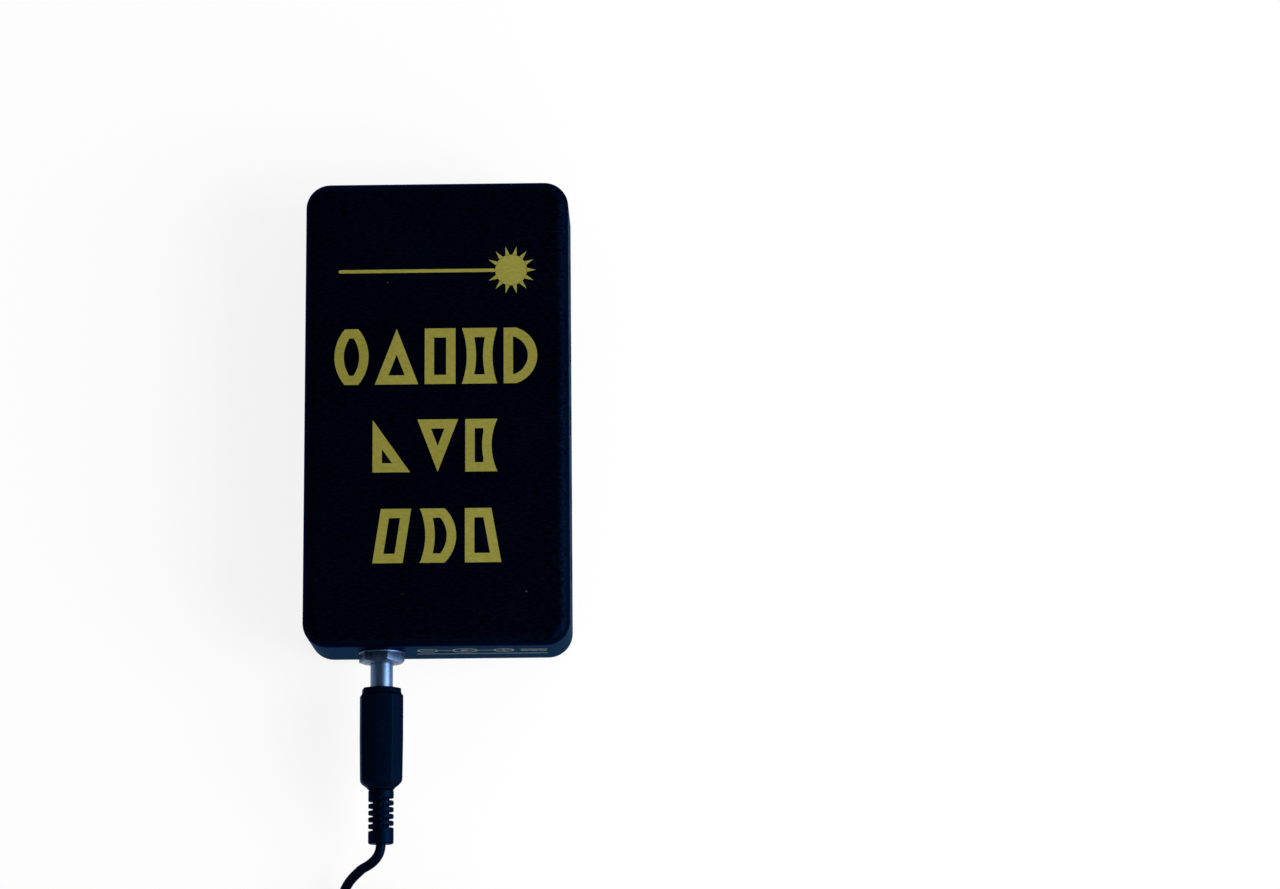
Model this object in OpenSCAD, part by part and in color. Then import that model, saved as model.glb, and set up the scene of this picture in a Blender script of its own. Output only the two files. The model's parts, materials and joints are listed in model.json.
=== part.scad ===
// Optics ray box with five laser modules, its low-voltage lead and its plug-in mains adapter.
// Millimetres. The origin is the middle of the magnetic sheet's underside, +Z is up, the rays
// leave through the +X side, the power jack is in the -Y end and the beam selector in the +Y end.

/* [Case] */
// Width of the case, along X
case_w = 65; // [59:1:80]
// Length of the case, along Y
case_l = 116; // [105:1:140]
// Height from the table to the top of the case
case_h = 24; // [23:0.5:32]
// Radius of the case's upright corners
corner_r = 6; // [5:0.5:8]
// Radius of the rounded edge round the top
edge_r = 3; // [1.5:0.5:4]
// Thickness of the side walls
wall_t = 2; // [1.5:0.1:2.5]
// Thickness of the top
top_t = 2; // [1.5:0.1:2.5]
// How far a screw post reaches in past its screw's axis
post_in = 3.5; // [3:0.5:4.5]

/* [Base] */
// Thickness of the magnetic sheet under the box
sheet_t = 1; // [0.5:0.1:1.5]
// How far the sheet's edge stands back from the case's sides
sheet_inset = 0.5; // [0.2:0.1:1]
// Thickness of the base plate
plate_t = 2; // [1.8:0.1:3]
// Gap between the base plate and the walls round it
plate_gap = 0.2; // [0.1:0.05:0.4]

/* [Case screws] */
// Diameter of the countersunk case screws
case_screw_d = 3; // [2.5:0.1:3.5]
// Length of the case screws with their heads
case_screw_l = 10; // [8:1:14]
// Diameter of the case screws' heads
case_head_d = 5.6; // [5:0.1:6.5]
// Radial clearance round every screw
screw_gap = 0.12; // [0.1:0.01:0.2]

/* [Ray ports] */
// Number of rays
ray_count = 5; // [3:2:5]
// Distance from one ray to the next
ray_pitch = 18.5; // [17:0.5:19]
// Height of the rays above the table
ray_z = 8.5; // [8.5:0.1:9.5]
// Diameter of the ray ports in the side wall
port_d = 7.4; // [6:0.1:8]

/* [Laser modules] */
// Outer diameter of a laser module's barrel
barrel_d = 9; // [8.8:0.1:9.5]
// Length of a barrel
barrel_l = 23; // [22:0.5:25]
// Gap between a barrel's front and the side wall
front_gap = 0.5; // [0.3:0.1:1]
// Diameter of the line lens in a barrel's mouth
line_lens_d = 7.2; // [7:0.1:7.4]
// Thickness of the line lens's disc
line_lens_t = 1.7; // [1.2:0.1:2]
// Radius of the half rod on the line lens
line_rod_r = 1.4; // [1:0.1:1.6]
// Diameter of the collimator lens
collimator_d = 6; // [5.8:0.1:6.2]
// Thickness of the collimator lens
collimator_t = 2.5; // [2:0.1:3]
// Diameter of the stop between the diode and the collimator
stop_d = 4.4; // [4:0.1:4.8]
// Diameter of a laser diode's flange
diode_d = 5.6; // [5.4:0.1:5.7]
// Thickness of a diode's flange
flange_t = 1.2; // [1:0.1:1.5]
// Diameter of a diode's can
can_d = 3.6; // [3.2:0.1:3.8]
// Length of a diode's can in front of its flange
can_l = 2.2; // [1.8:0.1:2.6]
// Length of a diode's legs behind its flange
leg_l = 6; // [5:0.5:7]
// Radial clearance round the lenses and diodes
lens_gap = 0.05; // [0.03:0.01:0.1]
// Length of a driver board
driver_l = 13; // [12:0.5:14]
// Width of a driver board
driver_w = 6; // [5.5:0.1:6.4]
// Thickness of a driver board
driver_t = 0.8; // [0.6:0.1:1]

/* [Laser block] */
// Width of the block, along the rays
block_w = 14; // [12:0.5:15]
// Height of the block
block_h = 13; // [12.5:0.1:13.5]
// Metal past the outer modules' axes
block_end = 7; // [6.5:0.5:8]
// How far the block stands back from the barrels' fronts
block_back = 7.5; // [7:0.5:8]
// Radial clearance between a barrel and its bore
barrel_gap = 0.08; // [0.05:0.01:0.15]
// Diameter of the grub screws and of the block's screws
block_screw_d = 3; // [2.5:0.1:3.5]
// Head diameter of the block's screws
block_head_d = 5.5; // [5:0.1:6]
// Head height of the block's screws
block_head_h = 3; // [2:0.1:3.2]

/* [Control board] */
// Width of the control board, along X
board_w = 17; // [16.5:0.5:18]
// Gap between the board and the wall beside it
board_side_gap = 1.5; // [1:0.1:2]
// Room for the wires between the jack's terminals and the board
jack_wire_room = 4.8; // [4:0.1:7]
// Room for the wires between the board and the selector's terminals
selector_wire_room = 11; // [9:0.5:13]
// Thickness of the control board
board_t = 1.6; // [1:0.1:2]
// Height of the board's standoffs
standoff_h = 6; // [5:0.5:7]
// Diameter of the standoffs
standoff_d = 5; // [4.5:0.1:5.5]
// Diameter of the board's screws
board_screw_d = 2.5; // [2:0.1:3]
// Distance of the standoffs from the board's edges
standoff_in = 3; // [2.8:0.1:4]
// Width of a connector, along the board
connector_w = 5.6; // [5:0.1:6]
// Length of a connector, across the board
connector_l = 6; // [5.5:0.1:6.4]
// Height of a connector
connector_h = 5; // [4:0.5:6]
// Free board between a screw's head and the nearest connector
connector_gap = 2.95; // [1.5:0.05:4]
// Diameter of the capacitors
capacitor_d = 8; // [7:0.1:8]
// Height of the capacitors
capacitor_h = 8; // [6:0.5:9]
// Diameter of the resistors
resistor_d = 2.2; // [1.8:0.1:2.4]
// Length of a resistor's body
resistor_l = 6; // [5:0.1:6.4]
// Width of the voltage regulator
regulator_w = 10; // [9:0.1:10.5]
// Height of the voltage regulator's body
regulator_h = 9; // [7:0.5:9]
// Diameter of the wires to the laser modules and the selector
wire_d = 1; // [0.8:0.1:1.1]
// Diameter of the wires from the jack
power_wire_d = 1.2; // [1:0.1:1.4]

/* [Beam selector] */
// Distance of the selector's middle from the case's -X side
selector_in = 22.5; // [22:0.5:26]
// Height of the selector's middle
selector_z = 9; // [8.5:0.1:11]
// Slider travel from one position to the next
selector_step = 2.5; // [2:0.1:2.5]
// Width and height of the slider's lever
lever_w = 4; // [3.5:0.1:4.2]
// How far the lever stands out of the end face
lever_out = 2; // [1:0.1:3]
// Gap round the lever in its slot
lever_gap = 0.4; // [0.2:0.05:0.5]
// Diameter of the selector's screws
selector_screw_d = 2; // [1.6:0.1:2.2]
// Distance between the selector's screws
selector_screw_pitch = 19; // [18:0.5:20]
// Depth of the selector's body behind its plate
selector_depth = 6; // [5:0.5:7]

/* [Jack] */
// Distance of the jack's axis from the case's -X side
jack_in = 18.6; // [16:0.1:20]
// Diameter of the jack's threaded bush
bush_d = 7.9; // [7.5:0.1:8.5]
// Bore of the jack
jack_bore_d = 5.6; // [5.58:0.01:5.65]
// Diameter of the jack's inner flange
jack_flange_d = 11; // [10:0.5:12]
// Thickness of the jack's inner flange
jack_flange_t = 1.5; // [1:0.1:2]
// Depth of the jack's tube behind the end face
jack_depth = 12; // [11:0.5:13]
// Diameter of the jack's centre pin
jack_pin_d = 1.95; // [1.9:0.01:1.98]
// Thickness of the washer under the nut
washer_t = 0.4; // [0.3:0.1:0.8]
// Diameter of the washer
washer_d = 11.2; // [10.5:0.1:12]
// Size of the nut across its flats
nut_af = 10; // [9.5:0.1:11]
// Thickness of the nut
nut_t = 2.3; // [2:0.1:3]
// How far the nut has been turned
nut_turn = 49; // [0:1:59]
// How far the bush stands out of the nut
bush_out = 0.2; // [0.1:0.1:1]

/* [Plug] */
// Outer diameter of the plug's sleeve
sleeve_d = 5.5; // [5.45:0.01:5.55]
// Length of the sleeve in front of the grip
sleeve_l = 14; // [13:0.5:15]
// Length of the sleeve that shows between jack and grip
sleeve_show = 6.3; // [5:0.1:8]
// Wall of the sleeve
sleeve_wall = 0.35; // [0.3:0.01:0.4]
// Bore of the plug's inner contact
tip_bore_d = 2.1; // [2.08:0.01:2.2]
// Outer diameter of the plug's inner contact
tip_d = 3; // [2.8:0.1:3.2]
// How deep the contacts sit in the grip
sleeve_seat = 4; // [3:0.5:6]
// Size of the eight-sided grip across its flats
grip_af = 10.2; // [9.5:0.1:12]
// Length of the grip
grip_l = 24.4; // [20:0.1:28]
// How far the grip is turned on its axis
grip_turn = 11; // [0:1:44]
// Diameter of the strain relief's neck
relief_d = 6.2; // [5.5:0.1:7]
// Length of the strain relief
relief_l = 13.2; // [12:0.1:16]
// Number of slots in each side of the strain relief
relief_slots = 5; // [3:1:6]

/* [Lead] */
// Diameter of the lead
cord_d = 2.4; // [2:0.1:2.6]
// Radius of the coil at the middle of its turns
coil_r = 14.2; // [13.5:0.1:15]
// Turns in one layer of the coil
layer_turns = 4; // [3:1:4]
// Layers in the coil
layers = 4; // [2:2:4]
// Gap between turns that lie beside or on each other
turn_gap = 0.47; // [0.45:0.01:0.6]
// Width of the tie round the coil
tie_w = 4; // [3:0.5:6]
// Thickness of the tie
tie_t = 0.6; // [0.4:0.1:0.8]

/* [Adapter] */
// Width of the adapter
adapter_w = 42; // [38:1:48]
// Length of the adapter
adapter_l = 62; // [58:1:72]
// Height of the adapter's lower shell
adapter_h = 20; // [18:1:24]
// Height of the adapter's cover
cover_h = 8; // [6:0.5:10]
// Radius of the adapter's upright corners
adapter_corner_r = 5; // [4.5:0.5:7]
// Radius of the adapter's rounded edges
adapter_edge_r = 2; // [1:0.5:3]
// Walls of the adapter
adapter_wall = 2; // [1.5:0.1:2.5]
// Diameter of the mains pins
mains_pin_d = 4; // [4:0.1:4.8]
// Length of the mains pins outside the adapter
mains_pin_l = 19; // [17:0.5:20]
// Distance between the mains pins
mains_pin_pitch = 19; // [18:0.1:20]
// Length of the adapter's strain relief
tail_relief_l = 20; // [18:1:26]
// Diameter of the adapter's strain relief at the adapter
tail_relief_d = 7; // [6:0.1:8]
// Length of the transformer's core
core_l = 30; // [24:1:32]
// Width of the transformer's core
core_w = 26; // [22:1:28]
// Height of the transformer's core
core_h = 14; // [12:1:16]

/* [Hidden] */
$fn = 64;
eps = 1;                                    // how far a cut runs past a face
floor_z = sheet_t + plate_t;                // top of the base plate
in_x = case_w / 2 - wall_t;                 // inside of the side walls
in_y = case_l / 2 - wall_t;                 // inside of the end walls
post_x = case_w / 2 - corner_r;             // screw posts, at the corners' own centres
post_y = case_l / 2 - corner_r;
ray_half = (ray_count - 1) / 2;
head_h = (case_head_d - case_screw_d) / 2 + 0.2;

// Barrels, measured back from their fronts
barrel_x = in_x - front_gap;                // front of the barrels
lens_seat = 3.5;                            // depth of the line lens's seat
collimator_seat = 10;                       // depth of the collimator's seat
diode_seat = 13.8;                          // depth of the diode's seat
diode_room = 3.2;                           // length of the close bore behind the diode's seat
rear_bore_d = barrel_d - 1.4;
leg_w = 0.45;
block_x = barrel_x - block_back - block_w;  // rear face of the block
block_l = 2 * (ray_half * ray_pitch + block_end);
block_top = floor_z + block_h;
socket_af = 1.5;
block_socket_af = 2.5;
driver_front = barrel_x - diode_seat - flange_t - leg_l + 2;
driver_back = driver_front - driver_l;

// Jack and selector, as deep as they reach in from the ends
insulator_l = 3;
jack_back = jack_depth + insulator_l;
solder_l = 4.2;                             // length of the jack's solder tags
terminal_l = 3;                             // length of the selector's terminals

// Control board
board_z = floor_z + standoff_h;
board_x = -in_x + board_side_gap;
board_right = board_x + board_w;
board_y = -case_l / 2 + jack_back + solder_l + jack_wire_room;
board_end = in_y - selector_depth - terminal_l - selector_wire_room;
board_l = board_end - board_y;
board_middle = (board_y + board_end) / 2;
board_top = board_z + board_t;
board_head_d = 1.8 * board_screw_d;
screw_room = standoff_in + board_head_d / 2;
connector_x = board_right - 1;              // the connectors' front faces
connector_pitch = (board_l - 2 * (screw_room + connector_gap) - connector_w) / (ray_count - 1);

// The regulator, capacitors and resistors stand in a row with equal gaps, from screw to screw
part_gap = (board_l - 2 * screw_room - regulator_w - 2 * capacitor_d - ray_count * resistor_d)
    / (ray_count + 4);
regulator_y = board_y + screw_room + part_gap;
capacitor_y = regulator_y + regulator_w + part_gap + capacitor_d / 2;
capacitor_pitch = capacitor_d + part_gap;
resistor_y = capacitor_y + capacitor_pitch + capacitor_d / 2 + part_gap + resistor_d / 2;
resistor_pitch = resistor_d + part_gap;

// Beam selector, measured from the outside of the +Y end
selector_x = -case_w / 2 + selector_in;
plate_back = 0.6;                           // thickness of the selector's plate
slot_w = lever_w + 2 * selector_step + 2 * lever_gap;
cavity_d = 2;                               // depth of the room that the slider moves in
slider_foot = 7;                            // length of the slider's foot
cavity_w = slider_foot + 2 * selector_step + 0.5;
body_w = cavity_w + 2;
body_h = lever_w + 2;
selector_flange = 0.5;
ear_w = selector_screw_pitch + selector_screw_d + 2.5;
selector_head_d = 1.9 * selector_screw_d;

// Jack and plug, measured inwards from the outside of the -Y end
jack_x = -case_w / 2 + jack_in;
jack_z = (sheet_t + case_h) / 2;
bush_front = -(washer_t + nut_t + bush_out);
insulator_in = 3.5;
pin_tip_y = 1;                              // how far the centre pin's tip is inside the end face
contact_t = 0.4;
grip_front = bush_front - sleeve_show;
grip_end = grip_front - grip_l;
relief_end = grip_end - relief_l;
collar_l = 1.3;
taper_front = 0.6;
taper_back = 1.9;
relief_collar = 2.6;
relief_neck = 1.9;
relief_core_d = cord_d + 1.4;
slot_pitch = (relief_l - relief_neck - relief_collar) / (relief_slots + 0.3);

// The lead leaves the strain relief here
exit_x = jack_x;
exit_y = -case_l / 2 + relief_end;
exit_z = jack_z;

// Route of the lead from the strain relief to the coil: x and y from its exit, z above the table
lead_route = [
    [0, 0, exit_z], [-0.2, -1.5, exit_z - 0.1], [-0.7, -2.7, exit_z - 0.4], [-1.7, -3.9, exit_z - 1],
    [-3, -4.8, exit_z - 2], [-4.9, -5.7, 8.9], [-6.1, -6.6, 7.8], [-7.3, -7.6, 6.7],
    [-8.4, -8.8, 5.6], [-9.3, -10.2, 4.6], [-10.1, -11.9, 3.7], [-10.7, -13.9, 2.9],
    [-11.2, -16.3, 2.2], [-11.7, -19.1, 1.7], [-12.1, -22.2, 1.4], [-12.4, -25.5, 1.4],
    [-12.6, -28.8, 1.6], [-12.6, -31.8, 1.9]
];
coil_ring = 24;                             // rings in one turn
coil_turns = layer_turns * layers;
turn_pitch = cord_d + turn_gap;
coil_half = layer_turns * turn_pitch / 2;
coil_in_r = coil_r - coil_half;
coil_out_r = coil_r + coil_half;
coil_z = 1.9;                               // middle of the lowest layer, above the tie's band
coil_top = coil_z + (layers - 1) * turn_pitch;
lead_end = lead_route[len(lead_route) - 1];
coil_x = exit_x + lead_end.x + coil_out_r;
coil_y = exit_y + lead_end.y - cord_d;
tail_x = coil_x - coil_out_r;
tail_y = coil_y - cord_d;

// Route of the tail from the coil to the adapter: x and y from the coil's end, z above the table
tail_route = [
    [0, 0, coil_top], [0.2, -3, coil_top], [1.1, -7, coil_top - 0.2], [2.7, -11, coil_top - 0.4],
    [4.7, -15, coil_top - 0.6], [6.6, -19, coil_top - 0.6], [8, -23, coil_top - 0.5],
    [8.8, -27, coil_top - 0.3], [9, -31, coil_top - 0.1], [9, -34, coil_top]
];
tail_end = tail_route[len(tail_route) - 1];
adapter_x = tail_x + tail_end.x;
adapter_y = tail_y + tail_end.y - tail_relief_l;    // the adapter's end face
adapter_top = adapter_h + cover_h;
tail_relief_z = coil_top;
boss_h = 2;
tail_groove_pitch = 0.13 * tail_relief_l;
mains_y = -adapter_l + 15;                  // the mains pins, from the adapter's end face
mains_root_d = mains_pin_d - 0.6;           // the pins inside the cover
core_y = -adapter_l + adapter_wall + 4;

module rod_y(d, from, to) {
    translate([0, from, 0]) rotate([-90, 0, 0]) cylinder(d = d, h = to - from);
}

module rod_x(d, from, to) {
    translate([from, 0, 0]) rotate([0, 90, 0]) cylinder(d = d, h = to - from);
}

module block(from, to) {
    translate(from) cube(to - from);
}

module at_ports() {
    for (i = [-ray_half:ray_half]) translate([0, i * ray_pitch, 0]) children();
}

module at_port(number) {
    translate([0, (number - 1 - ray_half) * ray_pitch, ray_z]) children();
}

module at_posts() {
    for (x = [-post_x, post_x], y = [-post_y, post_y]) translate([x, y, 0]) children();
}

module at_block_screws() {
    for (side = [-1, 1])
        translate([block_x + block_w / 2, side * (ray_half - 0.5) * ray_pitch, 0]) children();
}

module at_standoffs() {
    for (x = [board_x + standoff_in, board_right - standoff_in],
         y = [board_y + standoff_in, board_end - standoff_in])
        translate([x, y, 0]) children();
}

module at_selector() {
    translate([selector_x, case_l / 2, selector_z]) children();
}

module at_selector_screws() {
    for (side = [-1, 1]) translate([side * selector_screw_pitch / 2, 0, 0]) children();
}

module at_jack() {
    translate([jack_x, -case_l / 2, jack_z]) children();
}

module at_adapter() {
    translate([adapter_x, adapter_y, 0]) children();
}

// Flat outline with round corners
module rounded(w, l, r) {
    union() {
        square([w - 2 * r, l], center = true);
        square([w, l - 2 * r], center = true);
        for (x = [-1, 1], y = [-1, 1]) translate([x * (w / 2 - r), y * (l / 2 - r)]) circle(r = r);
    }
}

// Section of a shell's wall and top, outwards from the centre of its corner
module shell_section(h, r, edge, wall, top) {
    difference() {
        square([r, h]);
        translate([-eps, -eps]) square([r - wall + eps, h - top + eps]);
        translate([r - edge, h - edge]) difference() {
            square(edge + eps);
            circle(r = edge);
        }
    }
}

// Shell standing on z = 0, open below, with round corners and a round edge at the top
module shell(w, l, h, r, edge, wall, top) {
    a = w / 2 - r;
    b = l / 2 - r;
    translate([-a, -b, h - top]) cube([2 * a, 2 * b, top]);
    for (turn = [0:3]) {
        out = turn % 2 == 0 ? a : b;
        along = turn % 2 == 0 ? b : a;
        rotate([0, 0, 90 * turn]) translate([out, along, 0]) {
            rotate([90, 0, 0]) linear_extrude(2 * along) shell_section(h, r, edge, wall, top);
            rotate_extrude(angle = 90) shell_section(h, r, edge, wall, top);
        }
    }
}

// Screw posts filled into the shell's corners
module corner_posts() {
    low = floor_z;
    high = case_h - top_t / 2;
    reach = corner_r - wall_t / 2;
    for (turn = [0:3]) {
        out = turn % 2 == 0 ? post_x : post_y;
        along = turn % 2 == 0 ? post_y : post_x;
        rotate([0, 0, 90 * turn]) translate([out, along, low]) {
            rotate_extrude(angle = 90) square([reach, high - low]);
            translate([-post_in, -post_in, 0]) cube([post_in, post_in + reach, high - low]);
            translate([0, -post_in, 0]) cube([reach, post_in, high - low]);
        }
    }
}

module cross_recess(size, depth) {
    for (turn = [0, 90]) rotate([0, 0, turn])
        translate([-size / 2, -size / 8, -depth]) cube([size, size / 4, depth + eps]);
}

// Tube of straight-sided rings along points, square to the headings first and last at its ends;
// up is a direction that the tube never runs in
function unit(v) = v / norm(v);
function heading(points, i, first, last) =
    i == 0 ? first : i == len(points) - 1 ? last : unit(points[i + 1] - points[i - 1]);
function ring(centre, along, r, sides, up) =
    let (u = unit(cross(along, up)), v = cross(u, along))
    [for (k = [0:sides - 1]) centre + r * (cos(360 * k / sides) * u + sin(360 * k / sides) * v)];

module tube(points, d, sides, first, last, up = [0, 0, 1]) {
    end = len(points) - 1;
    rings = [for (i = [0:end]) each ring(points[i], heading(points, i, first, last), d / 2, sides, up)];
    walls = [for (i = [0:end - 1], k = [0:sides - 1])
        let (a = i * sides + k, b = i * sides + (k + 1) % sides)
        each [[a, a + sides, b], [b, a + sides, b + sides]]];
    near_cap = [for (k = [1:sides - 2]) [0, k, k + 1]];
    far_cap = [for (k = [1:sides - 2]) [end * sides, end * sides + k + 1, end * sides + k]];
    polyhedron(points = rings, faces = concat(walls, near_cap, far_cap));
}

// Wire bent in a soft curve between two ends, each with the pull that it leaves its end with
module wire(a, pull_a, b, pull_b, d, up = [0, 0, 1]) {
    steps = 10;
    points = [for (i = [0:steps]) let (t = i / steps, s = 1 - t)
        s * s * s * a + 3 * s * s * t * (a + pull_a) + 3 * s * t * t * (b + pull_b) + t * t * t * b];
    tube(points, d, 6, unit(pull_a), -unit(pull_b), up);
}

module case_shell() {
    color([0.03, 0.04, 0.08]) difference() {
        union() {
            translate([0, 0, sheet_t])
                shell(case_w, case_l, case_h - sheet_t, corner_r, edge_r, wall_t, top_t);
            corner_posts();
        }
        at_ports() translate([0, 0, ray_z]) rod_x(port_d, in_x - eps, case_w / 2 + eps);
        at_posts() translate([0, 0, floor_z - eps])
            cylinder(d = case_screw_d + 2 * screw_gap, h = case_screw_l + eps);
        at_jack() rod_y(bush_d + 0.3, -eps, wall_t + eps);
        at_selector() {
            block([-slot_w / 2, -wall_t - eps, -lever_w / 2 - lever_gap],
                  [slot_w / 2, eps, lever_w / 2 + lever_gap]);
            at_selector_screws() rod_y(selector_screw_d + 2 * screw_gap, -wall_t - eps, eps);
        }
    }
}

module base_plate() {
    inner_r = corner_r - wall_t - plate_gap;
    color("dimgray") difference() {
        translate([0, 0, sheet_t]) linear_extrude(plate_t)
            rounded(2 * (in_x - plate_gap), 2 * (in_y - plate_gap), inner_r);
        at_posts() translate([0, 0, sheet_t]) {
            translate([0, 0, -eps]) cylinder(d = case_screw_d + 2 * screw_gap, h = plate_t + 2 * eps);
            cylinder(d1 = case_head_d + 2 * screw_gap, d2 = case_screw_d + 2 * screw_gap, h = head_h);
        }
        at_block_screws() cylinder(d = block_screw_d + 2 * screw_gap, h = floor_z + eps);
        at_standoffs() cylinder(d = board_screw_d + 2 * screw_gap, h = floor_z + eps);
    }
}

module base_screws() {
    color("black") at_posts() translate([0, 0, sheet_t]) difference() {
        union() {
            cylinder(d1 = case_head_d, d2 = case_screw_d, h = head_h);
            cylinder(d = case_screw_d, h = case_screw_l);
        }
        mirror([0, 0, 1]) cross_recess(0.55 * case_head_d, 0.8);
    }
}

module magnetic_sheet() {
    color([0.05, 0.05, 0.05]) difference() {
        linear_extrude(sheet_t)
            rounded(case_w - 2 * sheet_inset, case_l - 2 * sheet_inset, corner_r - sheet_inset);
        at_posts() translate([0, 0, -eps]) cylinder(d = case_head_d + 1.2, h = sheet_t + 2 * eps);
    }
}

module laser_block() {
    color("silver") difference() {
        block([block_x, -block_l / 2, floor_z], [block_x + block_w, block_l / 2, block_top]);
        at_ports() {
            translate([0, 0, ray_z]) rod_x(barrel_d + 2 * barrel_gap, block_x - eps, block_x + block_w + eps);
            translate([block_x + block_w / 2, 0, ray_z])
                cylinder(d = block_screw_d + 2 * screw_gap, h = block_top - ray_z + eps);
        }
        at_block_screws() translate([0, 0, floor_z - eps])
            cylinder(d = block_screw_d + 2 * screw_gap, h = block_h + 2 * eps);
    }
}

module block_screws() {
    low = sheet_t + 0.2;
    color("gray") at_block_screws() difference() {
        union() {
            translate([0, 0, low]) cylinder(d = block_screw_d, h = block_top - low);
            translate([0, 0, block_top]) cylinder(d = block_head_d, h = block_head_h);
        }
        translate([0, 0, block_top + block_head_h / 2])
            cylinder(d = block_socket_af / cos(30), h = block_head_h, $fn = 6);
    }
}

module set_screws() {
    low = ray_z + barrel_d / 2;
    color("black") at_ports() translate([block_x + block_w / 2, 0, low]) difference() {
        cylinder(d = block_screw_d, h = block_top - low);
        translate([0, 0, block_top - low - 1.2]) cylinder(d = socket_af, h = 1.2 + eps, $fn = 6);
    }
}

module laser_barrel(number) {
    color("goldenrod") at_port(number) difference() {
        rod_x(barrel_d, barrel_x - barrel_l, barrel_x);
        rod_x(line_lens_d + 2 * lens_gap, barrel_x - lens_seat, barrel_x + eps);
        rod_x(collimator_d + 2 * lens_gap, barrel_x - collimator_seat, barrel_x);
        rod_x(stop_d, barrel_x - diode_seat, barrel_x);
        rod_x(diode_d + 2 * lens_gap, barrel_x - diode_seat - diode_room, barrel_x - diode_seat);
        rod_x(rear_bore_d, barrel_x - barrel_l - eps, barrel_x - diode_seat - diode_room);
    }
}

module line_lens(number) {
    seat = barrel_x - lens_seat;
    color([0.8, 0.9, 1, 0.5]) at_port(number) {
        rod_x(line_lens_d, seat, seat + line_lens_t);
        difference() {
            translate([seat + line_lens_t, 0, 0]) rod_y(2 * line_rod_r, -2.7, 2.7);
            block([seat - eps, -4, -3], [seat + line_lens_t / 2, 4, 3]);
        }
    }
}

module collimator_lens(number) {
    seat = barrel_x - collimator_seat;
    color([0.8, 0.9, 1, 0.5]) at_port(number) intersection() {
        rod_x(collimator_d, seat, seat + collimator_t);
        translate([seat + collimator_t - collimator_d, 0, 0]) sphere(r = collimator_d);
    }
}

module laser_diodes() {
    seat = barrel_x - diode_seat;
    color("gold") at_ports() translate([0, 0, ray_z]) {
        rod_x(diode_d, seat - flange_t, seat);
        rod_x(can_d, seat, seat + can_l);
        for (leg = [[-1, 0], [1, 0], [0, -driver_t - leg_w]])
            block([seat - flange_t - leg_l, leg[0] - leg_w / 2, leg[1]],
                  [seat - flange_t, leg[0] + leg_w / 2, leg[1] + leg_w]);
    }
}

module driver_boards() {
    color("darkgreen") at_ports() translate([0, 0, ray_z]) {
        block([driver_back, -driver_w / 2, -driver_t], [driver_front, driver_w / 2, 0]);
        block([driver_back + 3, -1.2, 0], [driver_back + 5.4, 1.2, 0.9]);
        block([driver_back + 6.4, -1.6, 0], [driver_back + 7.2, 1.6, 0.6]);
    }
}

module control_board() {
    color("darkgreen") difference() {
        block([board_x, board_y, board_z], [board_right, board_end, board_top]);
        at_standoffs() translate([0, 0, board_z - eps])
            cylinder(d = board_screw_d + 2 * screw_gap, h = board_t + 2 * eps);
    }
}

module board_standoffs() {
    color("goldenrod") at_standoffs() difference() {
        union() {
            translate([0, 0, sheet_t + plate_t / 5]) cylinder(d = board_screw_d, h = plate_t);
            translate([0, 0, floor_z]) cylinder(d = standoff_d, h = standoff_h, $fn = 6);
        }
        translate([0, 0, board_z - 0.65 * standoff_h])
            cylinder(d = board_screw_d + 2 * screw_gap, h = standoff_h);
    }
}

module board_screws() {
    head_t = 0.65 * board_screw_d;
    color("silver") at_standoffs() translate([0, 0, board_top]) difference() {
        union() {
            cylinder(d = board_head_d, h = head_t);
            translate([0, 0, -board_t - standoff_h / 2])
                cylinder(d = board_screw_d, h = board_t + standoff_h / 2);
        }
        translate([0, 0, head_t]) cross_recess(board_head_d / 2, head_t / 2);
    }
}

module resistors() {
    leg = 0.5;
    color("tan") for (i = [0:ray_count - 1])
        translate([board_x + 1.5, resistor_y + i * resistor_pitch, board_top]) {
            translate([0, 0, resistor_d / 2 + 0.2]) {
                rod_x(resistor_d, 2 * leg, 2 * leg + resistor_l);
                block([0, -leg / 2, -leg / 2], [resistor_l + 4 * leg, leg / 2, leg / 2]);
            }
            for (x = [0, resistor_l + 3 * leg])
                block([x, -leg / 2, 0], [x + leg, leg / 2, resistor_d / 2 + 0.2]);
        }
}

module capacitors() {
    color("midnightblue") for (i = [0, 1])
        translate([board_x + 1.5 + capacitor_d / 2, capacitor_y + i * capacitor_pitch, board_top])
            cylinder(d = capacitor_d, h = capacitor_h);
}

module regulator() {
    tab = 0.6;
    color([0.12, 0.12, 0.12]) translate([board_x + 3, regulator_y, board_top]) {
        block([0, 0, 0], [4.4, regulator_w, regulator_h / 3]);
        block([tab, 0, regulator_h / 3], [4.4, regulator_w, regulator_h]);
        block([0, 0, regulator_h / 3], [tab, regulator_w, regulator_h + 1]);
    }
}

module at_connectors() {
    for (i = [-ray_half:ray_half])
        translate([connector_x, board_middle + i * connector_pitch, board_top]) children();
}

module beam_connectors() {
    pin = 0.6;
    color("ivory") at_connectors() {
        block([-connector_l, -connector_w / 2, 0], [0, connector_w / 2, connector_h]);
        for (y = [-wire_d, wire_d])
            block([-0.7 * connector_l, y - pin / 2, connector_h],
                  [-0.7 * connector_l + pin, y + pin / 2, connector_h + 1]);
    }
}

// Pairs of wires that arch from the top of each connector to the top of its driver board
module beam_wires() {
    color("crimson") for (i = [-ray_half:ray_half], side = [-1.2 * wire_d, 1.2 * wire_d]) {
        a = [connector_x - connector_l / 3, board_middle + i * connector_pitch + side,
             board_top + connector_h];
        b = [driver_back + wire_d, i * ray_pitch + side, ray_z];
        wire(a, [0, 0, 0.9 * connector_h], b, [0, 0, 1.2 * connector_h], wire_d, cross([0, 0, 1], b - a));
    }
}

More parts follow.
